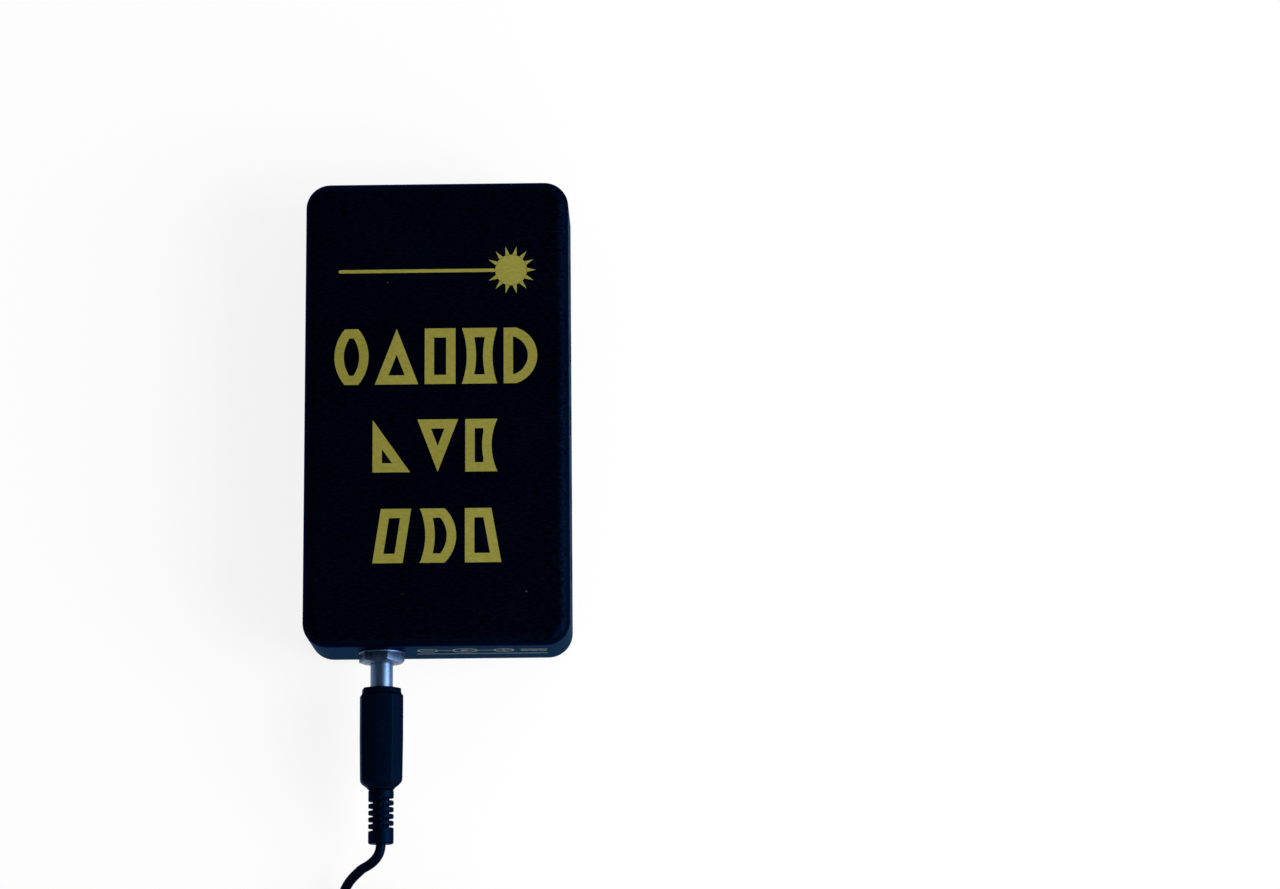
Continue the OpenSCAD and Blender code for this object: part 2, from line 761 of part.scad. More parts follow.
module power_wires() {
    tag = 2.5;                              // from the jack's axis to each solder tag
    color("black") for (side = [-1, 1])
        wire([jack_x + side * tag, -case_l / 2 + jack_back + solder_l, jack_z], [0, 1, 0],
             [board_x + board_w / 2 + side, board_y + standoff_in, board_top], [0, 0, 4.5],
             power_wire_d, [1, 0.3, 0]);
}

module selector_wires() {
    y = in_y - selector_depth - terminal_l;
    color("gold") for (i = [-1.5:1.5])
        wire([selector_x + i * selector_step, y, selector_z], [0, -2.5, 0],
             [board_x + board_w / 2 + 1.8 * i * wire_d, board_end - 1.5 * wire_d, board_top],
             [0, 0, 5], wire_d, [1, 0, 0]);
}

// Steel plate with its channel round the switch's body, behind the wall
module selector_plate() {
    color("lightgray") at_selector() difference() {
        union() {
            block([-ear_w / 2, -wall_t - plate_back, -body_h / 2 - selector_flange],
                  [ear_w / 2, -wall_t, body_h / 2 + selector_flange]);
            for (side = [-1, 1]) translate([0, 0, side * (body_h + selector_flange) / 2])
                block([-body_w / 2, -wall_t - selector_depth + 1, -selector_flange / 2],
                      [body_w / 2, -wall_t, selector_flange / 2]);
        }
        block([-slot_w / 2, -wall_t - plate_back - eps, -lever_w / 2 - lever_gap],
              [slot_w / 2, eps, lever_w / 2 + lever_gap]);
        at_selector_screws() rod_y(selector_screw_d + 2 * screw_gap, -wall_t - plate_back - eps, eps);
    }
}

module selector_body() {
    front = -wall_t - plate_back;
    color("saddlebrown") at_selector() difference() {
        block([-body_w / 2, -wall_t - selector_depth, -body_h / 2], [body_w / 2, front, body_h / 2]);
        block([-cavity_w / 2, front - cavity_d, -body_h / 2 + 0.5],
              [cavity_w / 2, front + eps, body_h / 2 - 0.5]);
    }
}

// The sliding lever, at rest in its last position
module selector_slider() {
    front = -wall_t - plate_back;
    half = lever_w / 2;
    color([0.08, 0.08, 0.08]) at_selector() translate([-selector_step, 0, 0]) difference() {
        union() {
            block([-half, front - 0.2, -half], [half, lever_out, half]);
            block([-slider_foot / 2, front - cavity_d + 0.2, -body_h / 2 + 0.7],
                  [slider_foot / 2, front - 0.2, body_h / 2 - 0.7]);
        }
        for (i = [-1:1]) block([i * half / 1.8 - 0.25, lever_out - 0.5, -half - eps],
                               [i * half / 1.8 + 0.25, lever_out + eps, half + eps]);
    }
}

module selector_terminals() {
    back = -wall_t - selector_depth;
    color("silver") at_selector() for (i = [-1.5:1.5])
        block([i * selector_step - 0.6, back - terminal_l, -0.25], [i * selector_step + 0.6, back, 0.25]);
}

module selector_screws() {
    color("silver") at_selector() at_selector_screws() difference() {
        union() {
            rod_y(selector_head_d, 0, 1.2);
            rod_y(selector_screw_d, -wall_t - plate_back - 1.5, 0);
        }
        translate([0, 1.2, 0]) rotate([-90, 0, 0]) cross_recess(0.55 * selector_head_d, 0.6);
    }
}

module jack_housing() {
    inner = wall_t + jack_flange_t;
    color("silver") at_jack() difference() {
        union() {
            rod_y(bush_d, bush_front, wall_t);
            rod_y(jack_flange_d, wall_t, inner);
            rod_y(bush_d, inner, jack_depth);
        }
        rod_y(jack_bore_d, bush_front - eps, jack_depth + eps);
        block([-1.2, inner + 0.5, -bush_d / 2 - eps], [1.2, jack_depth + eps, -jack_bore_d / 2 + 0.5]);
    }
}

module jack_insulator() {
    back = jack_back;
    color([0.1, 0.1, 0.1]) at_jack() difference() {
        union() {
            rod_y(jack_bore_d - 0.1, jack_depth - insulator_in, jack_depth);
            rod_y(bush_d, jack_depth, back);
        }
        rod_y(jack_pin_d + 0.06, -eps, back + eps);
        block([-1, -eps, -jack_bore_d / 2 - contact_t], [1, back + eps, -jack_bore_d / 2]);
    }
}

module jack_pin() {
    back = jack_back;
    color("gold") at_jack() {
        translate([0, pin_tip_y, 0]) rotate([-90, 0, 0])
            cylinder(d1 = 0.7 * jack_pin_d, d2 = jack_pin_d, h = 0.5);
        rod_y(jack_pin_d, pin_tip_y + 0.5, back);
        rod_y(3.2, back, back + 0.8);
        block([-3, back + 0.8, -0.2], [0, back + solder_l, 0.2]);
    }
}

module jack_contact() {
    back = jack_back;
    low = -jack_bore_d / 2 - contact_t;
    color("silver") at_jack() {
        block([-1, wall_t + jack_flange_t + 1, low], [1, back, low + contact_t]);
        block([-1, back, low], [3.2, back + contact_t, -1.8]);
        block([1.8, back, low], [3.2, back + contact_t, 0.2]);
        block([1.8, back + contact_t, -0.2], [3.2, back + solder_l, 0.2]);
    }
}

module jack_washer() {
    color("silver") at_jack() difference() {
        rod_y(washer_d, -washer_t, 0);
        rod_y(bush_d + 0.2, -washer_t - eps, eps);
    }
}

module jack_nut() {
    front = -washer_t - nut_t;
    across = nut_af / cos(30);
    color("silver") at_jack() rotate([0, nut_turn, 0]) difference() {
        intersection() {
            rotate([90, 0, 0]) translate([0, 0, washer_t]) cylinder(d = across, h = nut_t, $fn = 6);
            translate([0, front, 0]) rotate([-90, 0, 0])
                cylinder(d1 = nut_af - 0.2, d2 = nut_af + 6 * nut_t - 0.2, h = nut_t + eps);
        }
        rod_y(bush_d + 0.1, front - eps, eps);
    }
}

module plug_sleeve() {
    color("silver") at_jack() difference() {
        rod_y(sleeve_d, grip_front - sleeve_seat, grip_front + sleeve_l);
        rod_y(sleeve_d - 2 * sleeve_wall, grip_front - sleeve_seat - eps, grip_front + sleeve_l + eps);
    }
}

module plug_insulator() {
    color([0.1, 0.1, 0.1]) at_jack() difference() {
        rod_y(sleeve_d - 2 * sleeve_wall - 0.06, grip_front - sleeve_seat, grip_front + sleeve_l - 0.3);
        rod_y(tip_d + 0.06, grip_front - sleeve_seat - eps, grip_front + sleeve_l);
    }
}

module plug_tip() {
    color("silver") at_jack() difference() {
        rod_y(tip_d, grip_front - sleeve_seat, grip_front + sleeve_l);
        rod_y(tip_bore_d, grip_front - sleeve_seat - eps, grip_front + sleeve_l + eps);
    }
}

// One stretch of the eight-sided grip, from one size to another
module grip_stretch(from, length, size, end_size) {
    translate([0, from, 0]) rotate([90, 22.5 + grip_turn, 0])
        linear_extrude(length, scale = end_size / size) circle(d = size / cos(22.5), $fn = 8);
}

module plug_grip() {
    collar_af = 0.9 * grip_af;
    body_start = grip_front - collar_l - taper_front;
    body_l = grip_l - collar_l - taper_front - taper_back;
    color([0.05, 0.06, 0.09]) at_jack() difference() {
        union() {
            grip_stretch(grip_front, collar_l, collar_af, collar_af);
            grip_stretch(grip_front - collar_l, taper_front, collar_af, grip_af);
            grip_stretch(body_start, body_l, grip_af, grip_af);
            grip_stretch(body_start - body_l, taper_back, grip_af, relief_d);
        }
        rod_y(sleeve_d + 0.1, grip_front - sleeve_seat, grip_front + eps);
    }
}

module plug_strain_relief() {
    first = grip_end - relief_neck;
    width = 0.45 * slot_pitch;
    color([0.05, 0.06, 0.09]) at_jack() difference() {
        rod_y(relief_d, relief_end, grip_end);
        for (side = [-1, 1], i = [0:relief_slots - 1]) {
            y = first - (i + (side > 0 ? 0.3 : 0.8)) * slot_pitch;
            difference() {
                block([side < 0 ? -relief_d : 0.3, y - width / 2, -relief_d],
                      [side < 0 ? -0.3 : relief_d, y + width / 2, relief_d]);
                rod_y(relief_core_d, y - slot_pitch, y + slot_pitch);
            }
        }
    }
}

module lead() {
    color([0.05, 0.06, 0.09])
        tube([for (p = lead_route) [exit_x + p[0], exit_y + p[1], p[2]]], cord_d, 8, [0, -1, 0], [0, -1, 0]);
}

// Middle of the coil's tube after some turns: in and out at a steady rate, a layer higher each time
function layer_rise(turns) =
    let (k = round(turns / layer_turns), t = turns - k * layer_turns, s = min(max(2 * t + 0.5, 0), 1))
    k <= 0 ? 0 : k >= layers ? layers - 1 : k - 1 + s * s * (3 - 2 * s);
function coil_point(turns) =
    let (phase = turns / (2 * layer_turns), part = 2 * abs(phase - round(phase)),
         r = coil_out_r - 2 * coil_half * part, angle = 180 + 360 * turns)
    [coil_x + r * cos(angle), coil_y + r * sin(angle), coil_z + turn_pitch * layer_rise(turns)];

module lead_coil() {
    steps = coil_turns * coil_ring;
    turns = [for (i = [0:steps]) coil_point(i / coil_ring)];
    points = concat([turns[0] + [0, cord_d, 0]], turns, [turns[steps] - [0, cord_d, 0]]);
    gaps = [for (i = [0:steps - coil_ring + 6], j = [i + coil_ring - 6:steps]) norm(turns[i] - turns[j])];
    echo(least_gap_in_coil = min(gaps) - cord_d);
    color([0.05, 0.06, 0.09]) tube(points, cord_d, 6, [0, -1, 0], [0, -1, 0]);
}

module coil_tie() {
    low_x = coil_x + coil_in_r + turn_pitch / 2 - cord_d / 2 - 0.6;
    high_x = coil_x + coil_out_r - turn_pitch / 2 + cord_d / 2 + 0.3;
    high_z = coil_top + cord_d / 2 + 0.1;
    color([0.9, 0.9, 0.9]) translate([0, coil_y, 0]) {
        difference() {
            block([low_x - tie_t, -tie_w / 2, 0], [high_x + tie_t, tie_w / 2, high_z + tie_t]);
            block([low_x, -tie_w / 2 - eps, tie_t], [high_x, tie_w / 2 + eps, high_z]);
        }
        block([coil_x + coil_r - 2.5, -tie_w / 2 - 0.6, high_z + tie_t],
              [coil_x + coil_r + 2.5, tie_w / 2 + 0.6, high_z + tie_t + 2]);
    }
}

module lead_tail() {
    color([0.05, 0.06, 0.09])
        tube([for (p = tail_route) [tail_x + p[0], tail_y + p[1], p[2]]], cord_d, 8, [0, -1, 0], [0, -1, 0]);
}

module adapter_strain_relief() {
    color([0.05, 0.06, 0.09]) at_adapter() translate([0, 0, tail_relief_z]) difference() {
        union() {
            rotate([-90, 0, 0]) cylinder(d1 = tail_relief_d, d2 = cord_d + 1.6, h = tail_relief_l);
            rod_y(tail_relief_d, -adapter_wall, 0);
            rod_y(tail_relief_d + 3, -adapter_wall - 1.5, -adapter_wall);
        }
        for (i = [0:5]) difference() {
            rod_y(tail_relief_d + 2, 3 + i * tail_groove_pitch, 4 + i * tail_groove_pitch);
            rod_y(cord_d + 1.2, 2, tail_relief_l);
        }
    }
}

module adapter_shell(h) {
    translate([0, -adapter_l / 2, 0])
        shell(adapter_w, adapter_l, h, adapter_corner_r, adapter_edge_r, adapter_wall, adapter_wall);
}

module at_mains_pins() {
    for (side = [-1, 1]) translate([side * mains_pin_pitch / 2, mains_y, 0]) children();
}

module adapter_case() {
    color([0.05, 0.05, 0.06]) at_adapter() difference() {
        translate([0, 0, adapter_h]) mirror([0, 0, 1]) adapter_shell(adapter_h);
        translate([0, 0, tail_relief_z]) rod_y(tail_relief_d + 0.2, -adapter_wall - eps, eps);
    }
}

module adapter_cover() {
    color([0.05, 0.05, 0.06]) at_adapter() difference() {
        union() {
            translate([0, 0, adapter_h]) adapter_shell(cover_h);
            translate([0, mains_y, adapter_top - adapter_wall / 2])
                linear_extrude(boss_h + adapter_wall / 2) rounded(mains_pin_pitch + 15, 14, 6);
        }
        at_mains_pins() translate([0, 0, adapter_top - adapter_wall - eps])
            cylinder(d = mains_root_d + 0.1, h = adapter_wall + boss_h + 2 * eps);
    }
}

module adapter_pins() {
    low = adapter_top - adapter_wall;
    face = adapter_top + boss_h;
    tip = 1;
    color("silver") at_adapter() at_mains_pins() {
        translate([0, 0, low - 1]) cylinder(d = mains_pin_d + 2, h = 1);
        translate([0, 0, low]) cylinder(d = mains_root_d, h = face - low);
        translate([0, 0, face]) cylinder(d = mains_pin_d, h = mains_pin_l - tip);
        translate([0, 0, face + mains_pin_l - tip])
            cylinder(d1 = mains_pin_d, d2 = mains_pin_d - 1.6 * tip, h = tip);
    }
}

module adapter_transformer() {
    color("gray") at_adapter() translate([0, core_y, adapter_wall]) {
        block([-core_w / 2, 0, 0], [core_w / 2, core_l, core_h]);
        block([-core_w / 2 - 3, 7, 1.5], [core_w / 2 + 3, core_l - 7, core_h - 1.5]);
    }
}

module adapter_board() {
    y = core_y + core_l + 3;
    color("darkgreen") at_adapter() translate([0, y, adapter_wall]) {
        block([-14, 0, 0], [14, 16, 1.6]);
        for (x = [-8, 8]) translate([x, 5, 1.6]) cylinder(d = 7, h = 9);
    }
}

case_shell();
base_plate();
base_screws();
magnetic_sheet();
laser_block();
block_screws();
set_screws();
for (i = [1:ray_count]) {
    laser_barrel(i);
    collimator_lens(i);
    line_lens(i);
}
laser_diodes();
driver_boards();
control_board();
board_standoffs();
board_screws();
resistors();
capacitors();
regulator();
beam_connectors();
beam_wires();
power_wires();
selector_wires();
selector_plate();
selector_body();
selector_slider();
selector_terminals();
selector_screws();
jack_housing();
jack_insulator();
jack_pin();
jack_contact();
jack_washer();
jack_nut();
plug_sleeve();
plug_insulator();
plug_tip();
plug_grip();
plug_strain_relief();
lead();
lead_coil();
coil_tie();
lead_tail();
adapter_strain_relief();
adapter_case();
adapter_cover();
adapter_pins();
adapter_transformer();
adapter_board();
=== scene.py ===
# Looks of an optics ray box: painted case with its print, power jack and plug, lead in a coil and
# plug-in adapter.
# Pieces are modelled in millimetres and brought to metres when they are finished.
import json
import math
import bmesh
import bpy
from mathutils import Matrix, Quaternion, Vector


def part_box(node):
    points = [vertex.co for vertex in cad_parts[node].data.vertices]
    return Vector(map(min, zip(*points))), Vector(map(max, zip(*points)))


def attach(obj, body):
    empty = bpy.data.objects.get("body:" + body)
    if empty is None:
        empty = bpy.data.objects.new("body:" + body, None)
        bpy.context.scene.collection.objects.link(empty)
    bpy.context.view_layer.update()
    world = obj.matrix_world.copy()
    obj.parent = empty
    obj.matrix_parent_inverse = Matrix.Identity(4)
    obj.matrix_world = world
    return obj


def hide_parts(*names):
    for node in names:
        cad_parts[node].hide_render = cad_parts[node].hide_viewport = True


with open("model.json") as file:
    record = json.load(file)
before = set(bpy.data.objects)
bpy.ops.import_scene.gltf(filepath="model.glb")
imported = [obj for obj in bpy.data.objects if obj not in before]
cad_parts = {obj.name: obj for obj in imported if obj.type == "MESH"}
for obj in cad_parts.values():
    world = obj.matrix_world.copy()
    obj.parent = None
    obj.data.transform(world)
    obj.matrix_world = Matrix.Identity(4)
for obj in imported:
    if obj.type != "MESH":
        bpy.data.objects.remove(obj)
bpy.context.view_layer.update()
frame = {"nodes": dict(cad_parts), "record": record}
mm = 0.001
hair = 0.02                    # how far ink and other thin layers overlap what carries them


# Lowest and highest corner of a CAD node in millimetres
def nodeBox(name):
    low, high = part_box(name)
    return low / mm, high / mm


def middleOf(name):
    low, high = nodeBox(name)
    return (low + high) / 2


# Camera

photoView = {
    "place": (56.92, -190.42, 893.61),      # millimetres
    "tilt": 11.772, "yaw": 0.461, "roll": -0.636,
    "focalLength": 102.44,
}


def makeCamera():
    data = bpy.data.cameras.new("photoCamera")
    data.lens = photoView["focalLength"]
    data.sensor_width = 36
    data.clip_start, data.clip_end = 0.05, 50
    camera = bpy.data.objects.new("photoCamera", data)
    bpy.context.scene.collection.objects.link(camera)
    camera.location = Vector(photoView["place"]) * mm
    camera.rotation_mode = "ZYX"
    camera.rotation_euler = [math.radians(photoView[turn]) for turn in ("tilt", "yaw", "roll")]
    bpy.context.scene.camera = camera


makeCamera()
print("camera ready")


# Lead: 1.5 m of thin cord, from the plug through a coil to the adapter

leadSizes = {
    "length": 1500, "diameter": 2.4, "coilRadius": 14.2, "layerTurns": 4, "layers": 4,
    "turnGap": 0.47, "turnPoints": 24, "lowestLayer": 1.9, "inRelief": 2.0, "inAdapter": 32.0,
}
# From the plug's strain relief to the coil: x and y from there, z above the table
leadRoute = [
    (0, 0, 12.5), (-0.2, -1.5, 12.4), (-0.7, -2.7, 12.1), (-1.7, -3.9, 11.5), (-3, -4.8, 10.5),
    (-4.9, -5.7, 8.9), (-6.1, -6.6, 7.8), (-7.3, -7.6, 6.7), (-8.4, -8.8, 5.6), (-9.3, -10.2, 4.6),
    (-10.1, -11.9, 3.7), (-10.7, -13.9, 2.9), (-11.2, -16.3, 2.2), (-11.7, -19.1, 1.7),
    (-12.1, -22.2, 1.4), (-12.4, -25.5, 1.4), (-12.6, -28.8, 1.6), (-12.6, -31.8, 1.9),
]
# From the coil to the adapter: x and y from the coil's end, z from the coil's top layer
tailRoute = [
    (0, 0, 0), (0.2, -3, 0), (1.1, -7, -0.2), (2.7, -11, -0.4), (4.7, -15, -0.6),
    (6.6, -19, -0.6), (8, -23, -0.5), (8.8, -27, -0.3), (9, -31, -0.1), (9, -34, 0),
]


# How many layers up the cord is after some turns: it climbs in the half turn where the spiral reverses
def layerRise(turns):
    nearest = round(turns / leadSizes["layerTurns"])
    if nearest <= 0:
        return 0
    if nearest >= leadSizes["layers"]:
        return leadSizes["layers"] - 1
    share = min(max(2 * (turns - nearest * leadSizes["layerTurns"]) + 0.5, 0), 1)
    return nearest - 1 + share * share * (3 - 2 * share)


def coilPoint(turns, centre, pitch):
    halfWidth = leadSizes["layerTurns"] * pitch / 2
    phase = turns / (2 * leadSizes["layerTurns"])
    inwards = 2 * abs(phase - round(phase))
    radius = leadSizes["coilRadius"] + halfWidth - 2 * halfWidth * inwards
    angle = math.pi + 2 * math.pi * turns
    return (centre[0] + radius * math.cos(angle), centre[1] + radius * math.sin(angle),
            leadSizes["lowestLayer"] + pitch * layerRise(turns))


def leadPoints():
    low, high = nodeBox("plug_strain_relief")
    exitX, exitY = (low.x + high.x) / 2, low.y
    thick = leadSizes["diameter"]
    pitch = thick + leadSizes["turnGap"]
    lastX, lastY, lastZ = leadRoute[-1]
    outside = leadSizes["coilRadius"] + leadSizes["layerTurns"] * pitch / 2
    centre = (exitX + lastX + outside, exitY + lastY - thick)
    turns = leadSizes["layerTurns"] * leadSizes["layers"]
    steps = turns * leadSizes["turnPoints"]
    points = [(exitX, exitY + leadSizes["inRelief"], leadRoute[0][2])]
    points += [(exitX + x, exitY + y, z) for x, y, z in leadRoute]
    points += [coilPoint(turns * i / steps, centre, pitch) for i in range(steps + 1)]
    endX, endY, endZ = points[-1]
    points += [(endX + x, endY - thick + y, endZ + z) for x, y, z in tailRoute]
    lastX, lastY, lastZ = points[-1]
    points += [(lastX, lastY - leadSizes["inAdapter"] * share, lastZ) for share in (0.25, 0.5, 0.75, 1)]
    return points, Vector((exitX, exitY, leadRoute[0][2])) * mm


def makeLead():
    points, leadExit = leadPoints()
    curve = bpy.data.curves.new("power_lead", "CURVE")
    curve.dimensions = "3D"
    curve.bevel_depth = 1          # the thickness is the points' own radius
    curve.bevel_resolution = 3
    curve.resolution_u = 4
    curve.use_fill_caps = True
    spline = curve.splines.new("BEZIER")
    spline.bezier_points.add(len(points) - 1)
    places = [Vector(point) * mm for point in points]
    for i, (knot, place) in enumerate(zip(spline.bezier_points, places)):
        before, after = places[max(i - 1, 0)], places[min(i + 1, len(places) - 1)]
        way = (after - before).normalized()
        knot.handle_left_type = knot.handle_right_type = "FREE"
        knot.co = place
        knot.radius = leadSizes["diameter"] / 2 * mm
        knot.handle_left = place - way * (place - before).length / 3
        knot.handle_right = place + way * (after - place).length / 3
    lead = bpy.data.objects.new("power_lead", curve)
    bpy.context.scene.collection.objects.link(lead)
    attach(lead, "power_lead")
    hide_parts("lead", "lead_coil", "lead_tail")
    return lead, leadExit


powerLead, leadExit = makeLead()
print("lead laid")


# Working with operators, as by hand

def deselectAll():
    if bpy.context.object and bpy.context.object.mode != "OBJECT":
        bpy.ops.object.mode_set(mode="OBJECT")
    bpy.ops.object.select_all(action="DESELECT")


def selectOnly(piece):
    deselectAll()
    bpy.context.view_layer.objects.active = piece
    piece.select_set(True)


def openForEdit(piece):
    selectOnly(piece)
    bpy.ops.object.mode_set(mode="EDIT")


def closeEdit():
    bpy.ops.object.mode_set(mode="OBJECT")


# Selects the faces or edges of the open mesh that pass the test
def pickWhere(kind, test):
    bpy.ops.mesh.select_mode(type=kind)
    bpy.ops.mesh.select_all(action="DESELECT")
    mesh = bmesh.from_edit_mesh(bpy.context.edit_object.data)
    for part in mesh.faces if kind == "FACE" else mesh.edges:
        if test(part):
            part.select_set(True)
    bmesh.update_edit_mesh(bpy.context.edit_object.data)


# Faces whose middle and normal pass the test
def pickFaces(test):
    pickWhere("FACE", lambda face: test(face.calc_center_median(), face.normal))


# Edges whose two ends pass the test
def pickEdges(test):
    pickWhere("EDGE", lambda edge: test(edge.verts[0].co, edge.verts[1].co))


# Edges where two faces meet at more than an angle
def pickSharpEdges(degrees, test=lambda middle: True):
    def isSharp(edge):
        middle = (edge.verts[0].co + edge.verts[1].co) / 2
        return len(edge.link_faces) == 2 and edge.calc_face_angle() > math.radians(degrees) and test(middle)

    pickWhere("EDGE", isSharp)


# Bevels the edges of a piece that one of the picks above selects
def bevelEdges(piece, offset, segments, pick, *test, clamp=False):
    openForEdit(piece)
    pick(*test)
    bpy.ops.mesh.bevel(offset=offset, segments=segments, affect="EDGES", clamp_overlap=clamp)
    closeEdit()


def applyModifier(piece, kind, **settings):
    selectOnly(piece)
    modifier = piece.modifiers.new(kind.lower(), kind)
    for setting, value in settings.items():
        setattr(modifier, setting, value)
    bpy.ops.object.modifier_apply(modifier=modifier.name)


# Cuts a piece by another, or keeps what they share, and takes the cutter away
def cutBy(piece, cutter, operation="DIFFERENCE"):
    applyModifier(piece, "BOOLEAN", object=cutter, operation=operation, solver="EXACT")
    bpy.data.objects.remove(cutter)


def joined(pieces):
    deselectAll()
    for piece in pieces:
        piece.select_set(True)
    bpy.context.view_layer.objects.active = pieces[0]
    bpy.ops.object.join()
    return pieces[0]


def copyOf(piece, shift):
    twin = piece.copy()
    twin.data = piece.data.copy()
    bpy.context.scene.collection.objects.link(twin)
    selectOnly(twin)
    bpy.ops.transform.translate(value=shift)
    bpy.ops.object.transform_apply(location=True, rotation=True, scale=True)
    return twin


# A box between two corners, as the start of a piece
def startBox(low, high):
    low, high = Vector(low), Vector(high)
    deselectAll()
    bpy.ops.mesh.primitive_cube_add(size=1, location=(low + high) / 2, scale=high - low)
    bpy.ops.object.transform_apply(location=True, rotation=True, scale=True)
    return bpy.context.object


# Box with round upright corners and round edges above and, if asked, below
def roundedBox(low, high, cornerRadius, edgeRadius, lowerEdge=0, steps=10):
    box = startBox(low, high)
    openForEdit(box)
    pickEdges(lambda a, b: abs(a.z - b.z) > 0.5 * (high[2] - low[2]))
    bpy.ops.mesh.bevel(offset=cornerRadius, segments=steps, affect="EDGES")
    if edgeRadius:
        pickEdges(lambda a, b: min(a.z, b.z) > high[2] - 1e-3)
        bpy.ops.mesh.bevel(offset=edgeRadius, segments=steps - 2, affect="EDGES")
    if lowerEdge:
        pickEdges(lambda a, b: max(a.z, b.z) < low[2] + 1e-3)
        bpy.ops.mesh.bevel(offset=lowerEdge, segments=3, affect="EDGES")
    closeEdit()
    return box


# Lowest and highest corner of a box round a place, from one height to another
def cornersRound(x, y, wide, long, bottom, top):
    return (x - wide / 2, y - long / 2, bottom), (x + wide / 2, y + long / 2, top)


# Shell with round corners, open below
def openShell(low, high, corner, edge, wall, steps):
    shell = roundedBox(low, high, corner, edge, steps=steps)
    openForEdit(shell)
    pickFaces(lambda middle, normal: normal.z < -0.99)
    bpy.ops.mesh.delete(type="FACE")
    closeEdit()
    applyModifier(shell, "SOLIDIFY", thickness=wall, offset=-1, use_even_offset=True)
    return shell


# Body of revolution: an outline of (radius, place along the axis) points, drawn by extruding a point
# and spun round the axis through a centre
def turned(outline, centre, along="Y", steps=64, turn=0):
    axes = {"X": (Vector((1, 0, 0)), Vector((0, 0, 1))),
            "Y": (Vector((0, 1, 0)), Vector((1, 0, 0))),
            "Z": (Vector((0, 0, 1)), Vector((1, 0, 0)))}
    axis, out = axes[along]
    out = Quaternion(axis, math.radians(turn)) @ out
    centre = Vector(centre)
    centre = centre - axis * centre.dot(axis)
    places = [centre + out * radius + axis * place for radius, place in outline]
    deselectAll()
    bpy.ops.mesh.primitive_plane_add(size=1, location=(0, 0, 0))
    body = bpy.context.object
    bpy.ops.object.mode_set(mode="EDIT")
    bpy.ops.mesh.select_all(action="SELECT")
    bpy.ops.mesh.merge(type="CENTER")
    bpy.ops.mesh.select_mode(type="VERT")
    bpy.ops.mesh.select_all(action="SELECT")
    bpy.ops.transform.translate(value=places[0])
    for last, place in zip(places, places[1:]):
        bpy.ops.mesh.extrude_vertices_move(TRANSFORM_OT_translate={"value": place - last})
    bpy.ops.mesh.select_all(action="SELECT")
    bpy.ops.mesh.spin(steps=steps, angle=2 * math.pi, center=centre, axis=axis, use_auto_merge=True)
    bpy.ops.mesh.select_all(action="SELECT")
    bpy.ops.mesh.remove_doubles(threshold=0.0005)
    bpy.ops.mesh.normals_make_consistent(inside=False)
    closeEdit()
    return body


# Rounds the corners of an outline that are inside it, by a small radius
def eased(outline, radius, steps=3):
    points = [Vector(point) for point in outline]
    result = [points[0]]
    for before, corner, after in zip(points, points[1:], points[2:]):
        reach = min(radius, (corner - before).length / 2.2, (corner - after).length / 2.2)
        start = corner + (before - corner).normalized() * reach
        end = corner + (after - corner).normalized() * reach
        for i in range(steps + 1):
            share = i / steps
            result.append(start * (1 - share) ** 2 + corner * 2 * share * (1 - share) + end * share ** 2)
    return [tuple(point) for point in result + [points[-1]]]


# Brings a piece to metres, smooths it, paints it and puts it on its body
def finish(piece, name, body, material, replaced=(), angle=30, weighted=False):
    selectOnly(piece)
    piece.scale = (mm, mm, mm)
    bpy.ops.object.transform_apply(location=True, rotation=True, scale=True)
    bpy.ops.object.shade_smooth_by_angle(angle=math.radians(angle))
    if weighted:
        applyModifier(piece, "WEIGHTED_NORMAL", keep_sharp=True)
    piece.name = name
    piece.data.name = name
    if material:
        piece.data.materials.clear()
        piece.data.materials.append(finishes[material])
    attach(piece, body)
    if replaced:
        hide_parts(*replaced)
    return piece


# Shader groups

def newGroup(name, inputs, outputs):
    group = bpy.data.node_groups.new(name, "ShaderNodeTree")
    for socketName, kind, value in inputs:
        socket = group.interface.new_socket(name=socketName, in_out="INPUT", socket_type=kind)
        if value is not None:
            socket.default_value = value
    for socketName, kind in outputs:
        group.interface.new_socket(name=socketName, in_out="OUTPUT", socket_type=kind)
    start = group.nodes.new("NodeGroupInput")
    end = group.nodes.new("NodeGroupOutput")
    return group, start.outputs, end.inputs


def addNode(tree, kind, links=(), **settings):
    node = tree.nodes.new("ShaderNode" + kind)
    for setting, value in settings.items():
        setattr(node, setting, value)
    for socket, source in dict(links).items():
        if isinstance(source, bpy.types.NodeSocket):
            tree.links.new(source, node.inputs[socket])
        else:
            node.inputs[socket].default_value = source
    return node


def mathNode(tree, operation, *values):
    node = addNode(tree, "Math", dict(enumerate(values)), operation=operation)
    return node.outputs[0]


def mixColour(tree, share, first, second):
    node = addNode(tree, "Mix", {0: share, 6: first, 7: second}, data_type="RGBA")
    return node.outputs[2]


